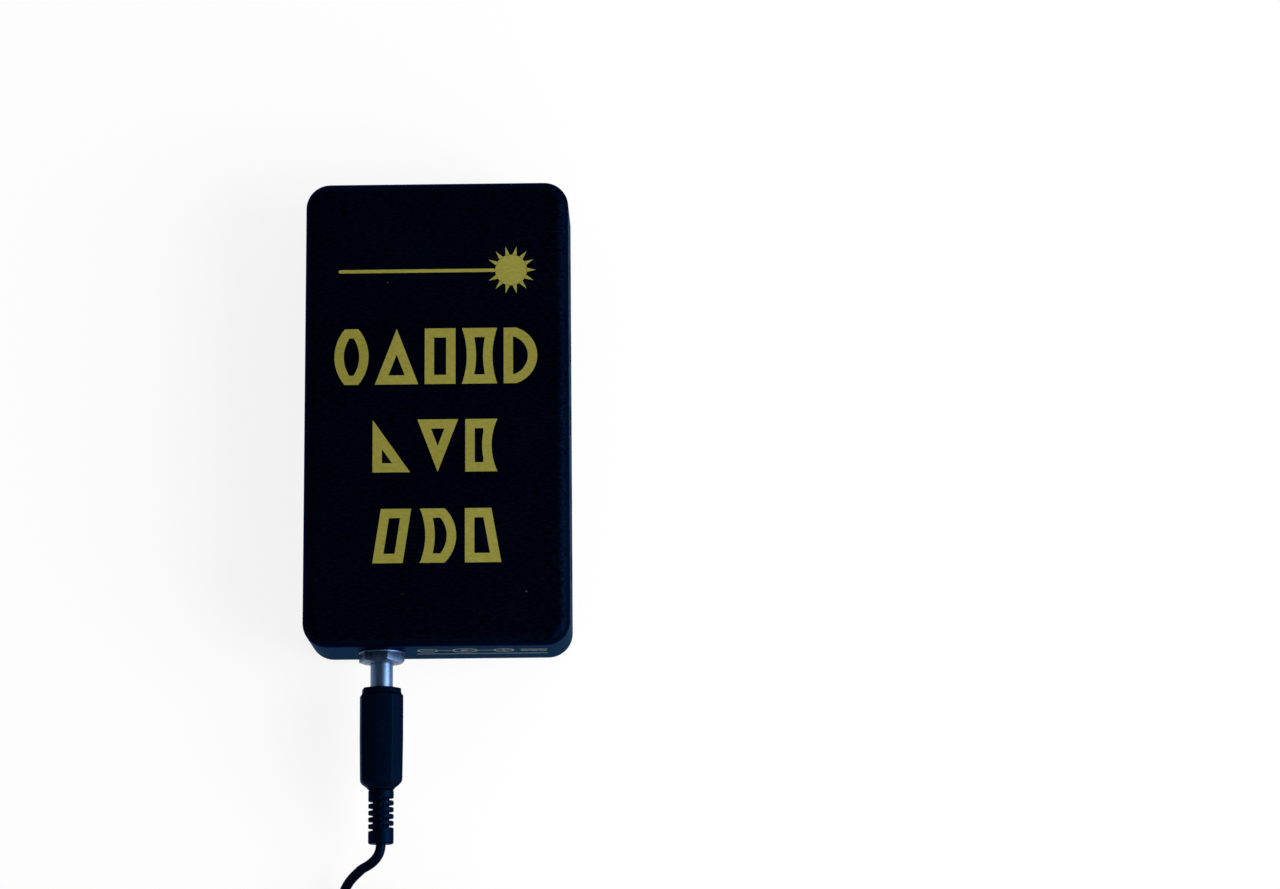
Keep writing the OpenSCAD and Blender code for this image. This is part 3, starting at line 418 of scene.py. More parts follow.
# Grain that can be drawn out along one way: a tone and a height that vary over the surface
def makeGrainGroup():
    group, given, result = newGroup(
        "surfaceGrain",
        [("Place", "NodeSocketVector", None), ("Stretch", "NodeSocketVector", (1, 1, 1)),
         ("Scale", "NodeSocketFloat", 900), ("Detail", "NodeSocketFloat", 4),
         ("Cloud Scale", "NodeSocketFloat", 40), ("Cloud Share", "NodeSocketFloat", 0.4)],
        [("Tone", "NodeSocketFloat"), ("Height", "NodeSocketFloat")])
    drawn = addNode(group, "VectorMath", {0: given["Place"], 1: given["Stretch"]}, operation="MULTIPLY")
    fine = addNode(group, "TexNoise", {"Vector": drawn.outputs[0], "Scale": given["Scale"],
                                       "Detail": given["Detail"], "Roughness": 0.6})
    cloud = addNode(group, "TexNoise", {"Vector": given["Place"], "Scale": given["Cloud Scale"],
                                        "Detail": 3.0, "Roughness": 0.5})
    share = mathNode(group, "SUBTRACT", 1.0, given["Cloud Share"])
    finePart = mathNode(group, "MULTIPLY", fine.outputs["Fac"], share)
    cloudPart = mathNode(group, "MULTIPLY", cloud.outputs["Fac"], given["Cloud Share"])
    tone = mathNode(group, "ADD", finePart, cloudPart)
    group.links.new(tone, result["Tone"])
    group.links.new(fine.outputs["Fac"], result["Height"])
    return group


# Specks of dust: a mask of small round spots, scattered thinly
def makeDustGroup():
    group, given, result = newGroup(
        "dustSpecks",
        [("Place", "NodeSocketVector", None), ("Spacing Scale", "NodeSocketFloat", 500),
         ("Spot Size", "NodeSocketFloat", 0.08), ("Share", "NodeSocketFloat", 0.02)],
        [("Mask", "NodeSocketFloat")])
    cells = addNode(group, "TexVoronoi", {"Vector": given["Place"], "Scale": given["Spacing Scale"]},
                    feature="F1")
    near = mathNode(group, "LESS_THAN", cells.outputs["Distance"], given["Spot Size"])
    chance = addNode(group, "SeparateColor", {"Color": cells.outputs["Color"]})
    some = mathNode(group, "LESS_THAN", chance.outputs[0], given["Share"])
    group.links.new(mathNode(group, "MULTIPLY", near, some), result["Mask"])
    return group


# Worn edges, and on the dark finishes a painted edge sheen: where the surface turns sharply, broken up by
# noise
def makeEdgeWearAndSheenGroup():
    group, given, result = newGroup(
        "edgeWearAndSheen",
        [("Place", "NodeSocketVector", None), ("Width", "NodeSocketFloat", 0.0003),
         ("Amount", "NodeSocketFloat", 0.5), ("Scale", "NodeSocketFloat", 300)],
        [("Mask", "NodeSocketFloat")])
    soft = addNode(group, "Bevel", {"Radius": given["Width"]}, samples=4)
    flat = addNode(group, "NewGeometry")
    turn = addNode(group, "VectorMath", {0: soft.outputs[0], 1: flat.outputs["Normal"]},
                   operation="DOT_PRODUCT")
    edge = mathNode(group, "SUBTRACT", 1.0, turn.outputs["Value"])
    broken = addNode(group, "TexNoise", {"Vector": given["Place"], "Scale": given["Scale"], "Detail": 5.0})
    mask = mathNode(group, "MULTIPLY", edge, broken.outputs["Fac"])
    strong = addNode(group, "MapRange", {"Value": mask, "From Min": 0.02, "From Max": 0.14,
                                         "To Min": 0.0, "To Max": given["Amount"]})
    group.links.new(strong.outputs[0], result["Mask"])
    return group


grainGroup = makeGrainGroup()
dustGroup = makeDustGroup()
edgeWearAndSheenGroup = makeEdgeWearAndSheenGroup()


def useGroup(tree, group, **values):
    node = tree.nodes.new("ShaderNodeGroup")
    node.node_tree = group
    for socketName, value in values.items():
        socket = node.inputs[socketName.replace("_", " ")]
        if isinstance(value, bpy.types.NodeSocket):
            tree.links.new(value, socket)
        else:
            socket.default_value = value
    return node.outputs


# Linear colour from the 0 to 255 numbers of a colour picker
def colour(red, green, blue, alpha=1):
    def linear(value):
        value = value / 255
        return value / 12.92 if value <= 0.04045 else ((value + 0.055) / 1.055) ** 2.4
    return (linear(red), linear(green), linear(blue), alpha)


finishes = {}


# One finish: two tones of a colour, a roughness that varies, a grain in relief, dust, and an edge colour that
# is wear, and on the dark blue finishes a painted edge sheen
def makeFinish(name, dark, light, rough, metal=0.0, grain=900, stretch=(1, 1, 1), clouds=40,
               cloudShare=0.4, contrast=0.2, relief=0.02, dust=0.0, dustColour=(0.13, 0.15, 0.2, 1), wearAndSheen=0.0,
               wearAndSheenColour=(0.3, 0.3, 0.32, 1), **sockets):
    material = finishes[name] = bpy.data.materials.new(name)
    material.use_nodes = True
    tree = material.node_tree
    shader = tree.nodes["Principled BSDF"]
    place = addNode(tree, "TexCoord").outputs["Object"]
    grains = useGroup(tree, grainGroup, Place=place, Stretch=stretch, Scale=grain,
                      Cloud_Scale=clouds, Cloud_Share=cloudShare)
    tone = addNode(tree, "MapRange", {"Value": grains["Tone"], "From Min": 0.5 - contrast,
                                      "From Max": 0.5 + contrast}).outputs[0]
    base = mixColour(tree, tone, colour(*dark), colour(*light))
    roughness = addNode(tree, "MapRange", {"Value": grains["Tone"], "From Min": 0.3, "From Max": 0.7,
                                           "To Min": rough[0], "To Max": rough[1]}).outputs[0]
    if wearAndSheen:
        # edge colour over sharp edges: real wear, and on the dark blue finishes a painted edge sheen
        wornAndSheen = useGroup(tree, edgeWearAndSheenGroup, Place=place, Amount=wearAndSheen)["Mask"]
        base = mixColour(tree, wornAndSheen, base, wearAndSheenColour)
    if dust:
        specks = useGroup(tree, dustGroup, Place=place, Share=dust)["Mask"]
        base = mixColour(tree, specks, base, dustColour)
        roughness = mathNode(tree, "MAXIMUM", roughness, specks)
    tree.links.new(base, shader.inputs["Base Color"])
    tree.links.new(roughness, shader.inputs["Roughness"])
    bump = addNode(tree, "Bump", {"Height": grains["Height"], "Distance": relief * mm, "Strength": 1.0})
    tree.links.new(bump.outputs[0], shader.inputs["Normal"])
    shader.inputs["Metallic"].default_value = metal
    for socket, value in sockets.items():
        shader.inputs[socket.replace("_", " ")].default_value = value


blueSheen = (0.03, 0.42, 0.64, 1)     # the dark finishes reflect in blue where they are seen at a slant
# Both of these carry a pale blue edge colour that is a painted edge sheen along with wear
makeFinish("black_paint", (0, 1, 8), (2, 11, 27), (0.48, 0.58), metal=0.92, grain=2000, cloudShare=0.2,
           stretch=(0.34, 1, 1), contrast=0.12, relief=0.012, dust=0.003, wearAndSheen=0.15,
           wearAndSheenColour=colour(12, 40, 70), Specular_IOR_Level=0.03, Specular_Tint=blueSheen)
makeFinish("black_moulding", (0, 4, 18), (2, 14, 34), (0.45, 0.55), metal=0.8, grain=1800, relief=0.015,
           dust=0.002, wearAndSheen=0.15, wearAndSheenColour=colour(12, 40, 70), Specular_IOR_Level=0.06,
           Specular_Tint=blueSheen)
makeFinish("cord_jacket", (0, 4, 18), (2, 14, 34), (0.45, 0.55), metal=0.8, grain=1200, relief=0.01,
           dust=0.002, Specular_IOR_Level=0.06, Specular_Tint=blueSheen)
makeFinish("nickel", (56, 80, 114), (92, 118, 156), (0.34, 0.46), metal=1.0, grain=1500,
           stretch=(1, 0.12, 1), relief=0.003)
makeFinish("steel", (150, 156, 168), (190, 194, 202), (0.22, 0.38), metal=1.0, grain=1300,
           stretch=(0.2, 1, 1), relief=0.004)
makeFinish("black_steel", (24, 25, 30), (44, 45, 52), (0.3, 0.42), metal=0.8, relief=0.006, wearAndSheen=0.4,
           wearAndSheenColour=colour(120, 122, 130))
makeFinish("aluminium", (176, 179, 186), (208, 210, 214), (0.28, 0.42), metal=1.0, grain=900,
           stretch=(1, 0.06, 1), relief=0.006)
makeFinish("brass", (176, 140, 66), (212, 176, 98), (0.2, 0.34), metal=1.0, grain=1200,
           stretch=(0.1, 1, 1), relief=0.004)
makeFinish("gold_plate", (206, 164, 84), (232, 196, 120), (0.14, 0.26), metal=1.0, relief=0.003)
makeFinish("grey_plate", (58, 60, 66), (78, 80, 86), (0.4, 0.55), relief=0.01, dust=0.004)
makeFinish("magnet_rubber", (20, 20, 24), (36, 36, 40), (0.6, 0.78), grain=1600, relief=0.03, dust=0.01,
           Specular_IOR_Level=0.3)
makeFinish("green_board", (10, 66, 36), (22, 92, 50), (0.3, 0.42), grain=500, stretch=(1, 0.3, 1),
           relief=0.01)
makeFinish("tan_coat", (186, 150, 110), (208, 176, 138), (0.35, 0.5))
makeFinish("blue_sleeve", (22, 28, 74), (34, 42, 96), (0.2, 0.32))
makeFinish("black_plastic", (16, 17, 20), (28, 29, 34), (0.42, 0.56), grain=1800, relief=0.02)
makeFinish("ivory_plastic", (218, 212, 190), (232, 228, 210), (0.35, 0.5))
makeFinish("brown_plastic", (92, 56, 30), (116, 74, 42), (0.3, 0.45))
makeFinish("red_wire", (160, 20, 20), (188, 34, 30), (0.3, 0.42))
makeFinish("black_wire", (18, 18, 20), (30, 30, 33), (0.3, 0.42))
makeFinish("yellow_wire", (206, 172, 40), (226, 196, 64), (0.3, 0.42))
makeFinish("white_tie", (196, 196, 190), (212, 212, 208), (0.32, 0.45), grain=1000, relief=0.01)
makeFinish("adapter_plastic", (8, 9, 14), (16, 17, 24), (0.5, 0.62), grain=2200, relief=0.045,
           cloudShare=0.2, dust=0.004, wearAndSheen=0.25, wearAndSheenColour=colour(40, 44, 54), Specular_IOR_Level=0.2)
makeFinish("grey_core", (86, 88, 92), (116, 118, 122), (0.4, 0.6), metal=0.7, grain=700, stretch=(1, 1, 8),
           relief=0.02)
makeFinish("optical_glass", (222, 236, 248), (236, 246, 254), (0.02, 0.06), relief=0.0005,
           Transmission_Weight=1.0, IOR=1.52)
makeFinish("pinMetal", (176, 176, 172), (206, 206, 200), (0.2, 0.32), metal=1.0, grain=1500,
           stretch=(1, 1, 0.12), relief=0.003)
makeFinish("printInk", (112, 108, 38), (134, 130, 56), (0.4, 0.55), grain=1500, stretch=(0.4, 1, 1),
           relief=0.008, Specular_IOR_Level=0.25)
makeFinish("endInk", (50, 66, 66), (74, 90, 84), (0.45, 0.6), grain=1500, relief=0.008,
           Specular_IOR_Level=0.25)

for slotEntry in frame["record"]["subparts"]:
    node = frame["nodes"][slotEntry["node"]]
    node.data.materials.clear()
    node.data.materials.append(finishes[slotEntry["material_slot"]])
powerLead.data.materials.append(finishes["cord_jacket"])
print("finishes mixed")


# Case: one shell with round corners, drilled for the rays, the jack, the selector and its screws

caseSizes = {
    "cornerRadius": 6, "edgeRadius": 3, "wall": 2, "lip": 0.3,
    "portWidth": 7.4, "rayHeight": 8.5, "jackHole": 8.2,
    "slotWidth": 9.8, "slotHeight": 4.8, "slotCorner": 0.6, "screwHole": 2.24, "screwPitch": 19,
}


# Cutter for a round hole through a wall, with a small chamfer at the wall's outer face
def holeCutter(centre, along, width, inside, face, outwards):
    radius, lip = width / 2, caseSizes["lip"]
    outline = [(0, inside), (radius, inside), (radius, face - outwards * lip),
               (radius + 2 * lip, face + outwards * lip), (radius + 2 * lip, face + outwards),
               (0, face + outwards)]
    return turned(outline, centre, along, steps=48)


def makeCase():
    low, high = nodeBox("case_shell")
    wall = caseSizes["wall"]
    case = openShell(low, high, caseSizes["cornerRadius"], caseSizes["edgeRadius"], wall, 14)
    cutters = [holeCutter((0, middleOf(f"laser_barrel_{i}").y, caseSizes["rayHeight"]), "X",
                          caseSizes["portWidth"], high.x - wall - 1, high.x, 1) for i in range(1, 6)]
    cutters.append(holeCutter(middleOf("jack_housing"), "Y", caseSizes["jackHole"], low.y + wall + 1,
                              low.y, -1))
    selector = middleOf("selector_plate")
    for side in (-1, 1):
        centre = selector + Vector((side * caseSizes["screwPitch"] / 2, 0, 0))
        cutters.append(holeCutter(centre, "Y", caseSizes["screwHole"], high.y - wall - 1, high.y, 1))
    half = Vector((caseSizes["slotWidth"] / 2, 0, caseSizes["slotHeight"] / 2))
    slot = startBox((selector - half) * Vector((1, 0, 1)) + Vector((0, high.y - wall - 1, 0)),
                    (selector + half) * Vector((1, 0, 1)) + Vector((0, high.y + 1, 0)))
    bevelEdges(slot, caseSizes["slotCorner"], 4, pickEdges, lambda a, b: abs(a.y - b.y) > wall)
    cutBy(case, joined(cutters + [slot]))
    finish(case, "painted_case", "root", "black_paint", ["case_shell"], weighted=True)


makeCase()
print("case made")


# Print on the top: a burst with a ray, and outlines of the lenses, prisms and blocks of an optics kit

topPrint = {
    "thickness": 0.05, "stroke": 2.3,
    "rayStart": -23.7, "rayEnd": 14.12, "rayY": 35.1, "rayWidth": 0.85,
    "burstX": 18.4, "burstRadius": 3.9, "spikes": 14, "spikeTo": 6.1, "spikeShare": 0.62,
}
# Each figure has its half height as 1: corners (x, y) anticlockwise, and how far the side after each
# bows out
figures = {
    "biconvexLens": [((0.24, -1), 0.36), ((0.24, 1), 0), ((-0.24, 1), 0.36), ((-0.24, -1), 0)],
    "prism": [((0.76, -1), 0), ((0, 1), 0), ((-0.76, -1), 0)],
    "block": [((0.54, -1), 0), ((0.54, 1), 0), ((-0.54, 1), 0), ((-0.54, -1), 0)],
    "biconcaveLens": [((0.62, -1), -0.17), ((0.62, 1), 0), ((-0.62, 1), -0.17), ((-0.62, -1), 0)],
    "halfRoundBlock": [((-0.12, -1), 0.74), ((-0.12, 1), 0), ((-0.56, 1), 0), ((-0.56, -1), 0)],
    "rightPrism": [((0.7, -1), 0), ((-0.7, 1), 0), ((-0.7, -1), 0)],
    "turnedPrism": [((0, -1), 0), ((0.76, 1), 0), ((-0.76, 1), 0)],
    "planoConcaveLens": [((0.6, -1), -0.22), ((0.6, 1), 0), ((-0.6, 1), 0), ((-0.6, -1), 0)],
    "rhombicBlock": [((0.4, -1), 0), ((0.7, 1), 0), ((-0.4, 1), 0), ((-0.7, -1), 0)],
    "meniscusLens": [((0.3, -1), 0.42), ((0.3, 1), 0), ((-0.6, 1), -0.2), ((-0.6, -1), 0)],
    "wedge": [((0.66, -1), 0), ((0.3, 1), 0), ((-0.66, 1), 0), ((-0.66, -1), 0)],
}
rows = [
    {"y": 13.5, "height": 14.0, "from": -25.0, "to": 24.8,
     "figures": ["biconvexLens", "prism", "block", "biconcaveLens", "halfRoundBlock"]},
    {"y": -8.9, "height": 13.1, "from": -15.5, "to": 15.0,
     "figures": ["rightPrism", "turnedPrism", "planoConcaveLens"]},
    {"y": -31.2, "height": 13.4, "from": -15.4, "to": 15.9,
     "figures": ["rhombicBlock", "meniscusLens", "wedge"]},
]


def direction(angle):
    return Vector((math.cos(angle), math.sin(angle)))


# Points of a side that bows out to the right of its way from one corner to the next
def bowedSide(start, end, bow, steps=14):
    start, end = Vector(start), Vector(end)
    if not bow:
        return [start]
    chord = end - start
    right = Vector((chord.y, -chord.x)).normalized()
    half = chord.length / 2
    radius = (half * half + bow * bow) / (2 * bow)
    centre = (start + end) / 2 + right * (bow - radius)
    first = math.atan2(start.y - centre.y, start.x - centre.x)
    sweep = 2 * math.atan2(half, radius - bow) if bow > 0 else -2 * math.atan2(half, bow - radius)
    return [centre + abs(radius) * direction(first + sweep * i / steps) for i in range(steps)]


def outlineOf(corners, scale):
    points = []
    for (place, bow), (nextPlace, _) in zip(corners, corners[1:] + corners[:1]):
        points += bowedSide(Vector(place) * scale, Vector(nextPlace) * scale, bow * scale)
    return points


# The outline's points moved inwards by a stroke; those that come nearer to another side are left out
def insetPoints(points, stroke):
    points = [Vector(point) for point in points]
    sides = list(zip(points, points[1:] + points[:1]))
    inner = []
    for (before, here), (here, after) in zip(sides[-1:] + sides[:-1], sides):
        first, second = (here - before).normalized(), (after - here).normalized()
        inward = Vector((-first.y, first.x))
        corner = (inward + Vector((-second.y, second.x))).normalized()
        place = here + corner * stroke / max(corner.dot(inward), 0.2)
        nearest = min(distanceToSide(place, start, end) for start, end in sides)
        if nearest > 0.985 * stroke:
            inner.append(place)
    return inner


def distanceToSide(place, start, end):
    along = end - start
    share = min(max((place - start).dot(along) / along.length_squared, 0), 1)
    return (place - start - along * share).length


# Ring of edges through an outline's points
def addLoop(points, centre):
    bpy.ops.mesh.select_all(action="DESELECT")
    bpy.ops.mesh.primitive_circle_add(vertices=len(points), radius=1, fill_type="NOTHING", location=(0, 0, 0))
    mesh = bmesh.from_edit_mesh(bpy.context.edit_object.data)
    vert = next(vert for vert in mesh.verts if vert.select)
    edge = vert.link_edges[0]
    for point in points:
        vert.co = (centre[0] + point[0], centre[1] + point[1], centre[2])
        vert = edge.other_vert(vert)
        edge = next(other for other in vert.link_edges if other is not edge)
    bmesh.update_edit_mesh(bpy.context.edit_object.data)


# Flat figure between an outline and, if there is one, the outline inside it; its face looks up
def flatFigure(outlines, centre):
    deselectAll()
    bpy.ops.mesh.primitive_plane_add(size=1, location=(0, 0, 0))
    sheet = bpy.context.object
    bpy.ops.object.mode_set(mode="EDIT")
    bpy.ops.mesh.select_all(action="SELECT")
    bpy.ops.mesh.delete(type="VERT")
    for points in outlines:
        addLoop(points, centre)
    bpy.ops.mesh.select_mode(type="EDGE")
    bpy.ops.mesh.select_all(action="SELECT")
    bpy.ops.mesh.fill(use_beauty=True)
    pickFaces(lambda middle, normal: normal.z < 0)
    bpy.ops.mesh.flip_normals()
    closeEdit()
    return sheet


def outlinedFigure(points, centre, stroke):
    return flatFigure([points, insetPoints(points, stroke)], centre)


def solidFigure(points, centre):
    return flatFigure([points], centre)


def circlePoints(radius, steps=48):
    return [radius * direction(2 * math.pi * i / steps) for i in range(steps)]


# Bar with round ends between two points
def barPoints(start, end, width, steps=6):
    start, end = Vector(start), Vector(end)
    along = math.atan2(end.y - start.y, end.x - start.x)
    points = []
    for centre, first in ((end, along - math.pi / 2), (start, along + math.pi / 2)):
        points += [centre + width / 2 * direction(first + math.pi * i / steps) for i in range(steps + 1)]
    return points


def makeTopPrint():
    top = nodeBox("case_shell")[1].z - hair
    radius, spikes = topPrint["burstRadius"], topPrint["spikes"]
    burst = (topPrint["burstX"], topPrint["rayY"], top)
    ray = barPoints((topPrint["rayStart"], 0), (topPrint["rayEnd"], 0), topPrint["rayWidth"])
    parts = [solidFigure(ray, (0, topPrint["rayY"], top)), solidFigure(circlePoints(radius), burst)]
    # Each spike is a narrow triangle that starts inside the disc; the ray stands in the place of one
    foot = radius * math.cos(math.pi / spikes)
    half = radius * math.sin(math.pi / spikes) * topPrint["spikeShare"]
    for i in range(1, spikes):
        angle = math.pi + 2 * math.pi * i / spikes
        way, across = direction(angle), direction(angle + math.pi / 2)
        spike = [way * foot - across * half, way * topPrint["spikeTo"], way * foot + across * half]
        parts.append(solidFigure(spike, burst))
    for row in rows:
        outlines = [outlineOf(figures[name], row["height"] / 2) for name in row["figures"]]
        ends = [(min(p[0] for p in points), max(p[0] for p in points)) for points in outlines]
        free = row["to"] - row["from"] - sum(right - left for left, right in ends)
        x = row["from"]
        for points, (left, right) in zip(outlines, ends):
            parts.append(outlinedFigure(points, (x - left, row["y"], top), topPrint["stroke"]))
            x += right - left + free / (len(outlines) - 1)
    sheet = joined(parts)
    applyModifier(sheet, "SOLIDIFY", thickness=topPrint["thickness"], offset=1)
    finish(sheet, "top_print", "root", None)
    sheet.data.materials.append(finishes["printInk"])


makeTopPrint()
print("print laid on the top")


# Print on the end beside the jack: centre-positive plug and direct current signs

endPrint = {
    "thickness": 0.04, "stroke": 0.55, "x": 10.0, "z": 14.6, "dotX": -3.4, "dotRadius": 1.15,
    "rings": [(-12.5, 2.6), (-3.4, 3.2), (6.0, 2.6)],      # middle x and radius
    # Start x and z, end x and z, width: minus, two lines between the rings, plus, bar over dashes, rule
    "bars": [(-13.6, 0, -11.4, 0, 0.55), (-9.9, 0, -6.6, 0, 0.55), (-3.4, 0, 3.4, 0, 0.55),
             (4.9, 0, 7.1, 0, 0.55), (6.0, -1.1, 6.0, 1.1, 0.55), (10.4, 0.9, 16.2, 0.9, 0.9),
             (10.5, -1.0, 11.7, -1.0, 0.9), (12.7, -1.0, 13.9, -1.0, 0.9), (14.9, -1.0, 16.1, -1.0, 0.9),
             (-15.2, -5.2, 16.2, -5.2, 0.7)],
}


def makeEndPrint():
    face = nodeBox("case_shell")[0].y + hair
    parts = [outlinedFigure(circlePoints(radius), (x, 0, 0), endPrint["stroke"])
             for x, radius in endPrint["rings"]]
    parts.append(solidFigure(circlePoints(endPrint["dotRadius"]), (endPrint["dotX"], 0, 0)))
    parts += [solidFigure(barPoints(bar[:2], bar[2:4], bar[4]), (0, 0, 0)) for bar in endPrint["bars"]]
    sheet = joined(parts)
    applyModifier(sheet, "SOLIDIFY", thickness=endPrint["thickness"], offset=1)
    openForEdit(sheet)
    mesh = bmesh.from_edit_mesh(sheet.data)
    for vert in mesh.verts:      # laid on the end face: its top towards +Z, its front towards -Y
        x, z, out = vert.co
        vert.co = (endPrint["x"] + x, face - out, endPrint["z"] + z)
    bmesh.update_edit_mesh(sheet.data)
    closeEdit()
    finish(sheet, "end_print", "root", None)
    sheet.data.materials.append(finishes["endInk"])


makeEndPrint()


# Numbers of rays over the selector's slot, one over each position of its lever
def makeNumbers():
    face = nodeBox("case_shell")[1].y - hair
    middle = middleOf("selector_plate")
    parts = []
    for number, place in (("1", 2.5), ("3", 0), ("5", -2.5)):
        deselectAll()
        bpy.ops.object.text_add(location=(0, 0, 0))
        word = bpy.context.object
        word.data.body = number
        word.data.size = 2.4
        word.data.align_x = "CENTER"
        word.data.extrude = endPrint["thickness"] / 2
        bpy.ops.object.convert(target="MESH")
        word = bpy.context.object
        word.rotation_euler = (math.radians(90), 0, math.radians(180))
        word.location = (middle.x + place, face + endPrint["thickness"] / 2, middle.z + 4.1)
        bpy.ops.object.transform_apply(location=True, rotation=True, scale=True)
        parts.append(word)
    sheet = finish(joined(parts), "selector_numbers", "root", None)
    sheet.data.materials.append(finishes["printInk"])


makeNumbers()
print("signs laid on the ends")


# Power jack: bush, washer and nut on the end face

jackSizes = {"bush": 7.9, "bore": 5.6, "thread": 0.35, "threadDepth": 0.18, "nutWidth": 10, "nutTurn": 49,
             "flange": 11, "wall": 2, "flangeThickness": 1.5}


def makeJack():
    centre = middleOf("jack_housing")
    low, high = nodeBox("jack_housing")
    face = nodeBox("case_shell")[0].y
    bush, bore = jackSizes["bush"] / 2, jackSizes["bore"] / 2
    inner = face + jackSizes["wall"]
    outline = [(bore, high.y), (bore, low.y + 0.35), (bore + 0.3, low.y), (bush - 0.3, low.y),
               (bush, low.y + 0.2)]
    y = low.y + 0.3
    while y < inner - jackSizes["thread"]:
        outline += [(bush, y), (bush - jackSizes["threadDepth"], y + jackSizes["thread"] / 2)]
        y += jackSizes["thread"]
    outline += [(bush, inner), (jackSizes["flange"] / 2 - 0.2, inner), (jackSizes["flange"] / 2, inner + 0.2),
                (jackSizes["flange"] / 2, inner + jackSizes["flangeThickness"]),
                (bush, inner + jackSizes["flangeThickness"]), (bush, high.y), (bore, high.y)]
    housing = turned(outline, centre, "Y", steps=72)
    slotStart = inner + jackSizes["flangeThickness"] + 0.5
    cutBy(housing, startBox((centre.x - 1.2, slotStart, centre.z - 6),
                            (centre.x + 1.2, high.y + 1, centre.z - bore + 0.5)))
    finish(housing, "jack_bush", "root", "nickel", ["jack_housing"])

    low, high = nodeBox("jack_washer")
    hole, rim = bush + 0.1, (high.x - low.x) / 2
    outline = eased([(hole, high.y), (hole, low.y), (rim, low.y), (rim, high.y), (hole, high.y)], 0.12)
    finish(turned(outline, centre, "Y", steps=72), "jack_washer_ring", "root", "nickel", ["jack_washer"])

    low, high = nodeBox("jack_nut")
    half = jackSizes["nutWidth"] / 2
    corner = half / math.cos(math.radians(30))
    nut = turned([(0, high.y), (corner, high.y), (corner, low.y), (0, low.y)], centre, "Y", steps=6,
                 turn=jackSizes["nutTurn"])
    bevelEdges(nut, 0.12, 2, pickSharpEdges, 40)
    hole = bush + 0.05
    outline = [(hole, high.y + 0.5), (hole, low.y + 0.25), (hole + 0.25, low.y), (half - 0.15, low.y)]
    outline += [(half - 0.15 + 0.25 * i, low.y + 0.1 * i) for i in range(1, 5)]
    outline += [(half + 1.4, low.y + 0.5), (half + 1.4, high.y + 0.5), (hole, high.y + 0.5)]
    cutBy(nut, turned(outline, centre, "Y", steps=72), "INTERSECT")
    finish(nut, "jack_hex_nut", "root", "nickel", ["jack_nut"])


makeJack()
print("jack made")


# Plug: sleeve and contact, eight-sided grip and slotted strain relief

plugSizes = {
    "sleeve": 5.5, "wall": 0.35, "contact": 3.0, "contactBore": 2.1, "grip": 10.2, "collar": 9.18,
    "gripFront": 0.35, "collarLength": 1.3, "frontTaper": 0.6, "backTaper": 1.9, "turn": 33.5,
    "gripEdge": 0.45,
    "relief": 6.2, "core": 4.0, "neck": 1.9, "endCollar": 2.6, "slots": 5, "slotShare": 0.36, "voxel": 0.13,
}


def makePlug():
    centre = middleOf("plug_sleeve")
    low, high = nodeBox("plug_sleeve")
    outside, inside = plugSizes["sleeve"] / 2, plugSizes["sleeve"] / 2 - plugSizes["wall"]
    outline = eased([(inside, low.y), (outside, low.y), (outside, high.y), (inside, high.y),
                     (inside, low.y)], 0.3, 5)
    finish(turned(outline, centre, "Y", steps=72), "plug_barrel", "power_lead", "nickel", ["plug_sleeve"])

    low, high = nodeBox("plug_tip")
    contact, hole = plugSizes["contact"] / 2, plugSizes["contactBore"] / 2
    outline = eased([(hole, low.y), (contact, low.y), (contact, high.y - 0.5), (contact + 0.2, high.y - 0.4),
                     (contact + 0.2, high.y), (hole, high.y), (hole, low.y)], 0.18)
    finish(turned(outline, centre, "Y", steps=48), "plug_contact", "power_lead", "nickel", ["plug_tip"])

    low, high = nodeBox("plug_grip")
    corner = 1 / math.cos(math.radians(22.5)) / 2
    collar, body, end = (plugSizes[size] * corner for size in ("collar", "grip", "relief"))
    front = high.y + plugSizes["gripFront"]
    step = front - plugSizes["collarLength"]
    taper = step - plugSizes["frontTaper"]
    shoulder = low.y + plugSizes["backTaper"]
    outline = [(0, front)] + eased([(0.5, front), (collar, front), (collar, step), (body, taper)], 0.4, 3)
    outline += eased([(body, (taper + shoulder) / 2), (body - 0.15, shoulder - 0.2),
                      (end + 0.25, low.y + 0.45), (end, low.y), (0.5, low.y)], 1.1, 5) + [(0, low.y)]
    grip = turned(outline, centre, "Y", steps=8, turn=plugSizes["turn"])

    # The eight long edges, with the short ones over the shoulders
    def isLong(edge):
        along = (edge.verts[0].co - edge.verts[1].co).normalized()
        radial = (edge.verts[0].co - centre) * Vector((1, 0, 1))
        return radial.length > 0.9 and abs(along.cross(radial.normalized()).y) < 0.05

    bevelEdges(grip, plugSizes["gripEdge"], 4, pickWhere, "EDGE", isLong, clamp=True)
    finish(grip, "plug_moulded_grip", "power_lead", "black_moulding", ["plug_grip"], angle=35)

    makeRelief(centre)


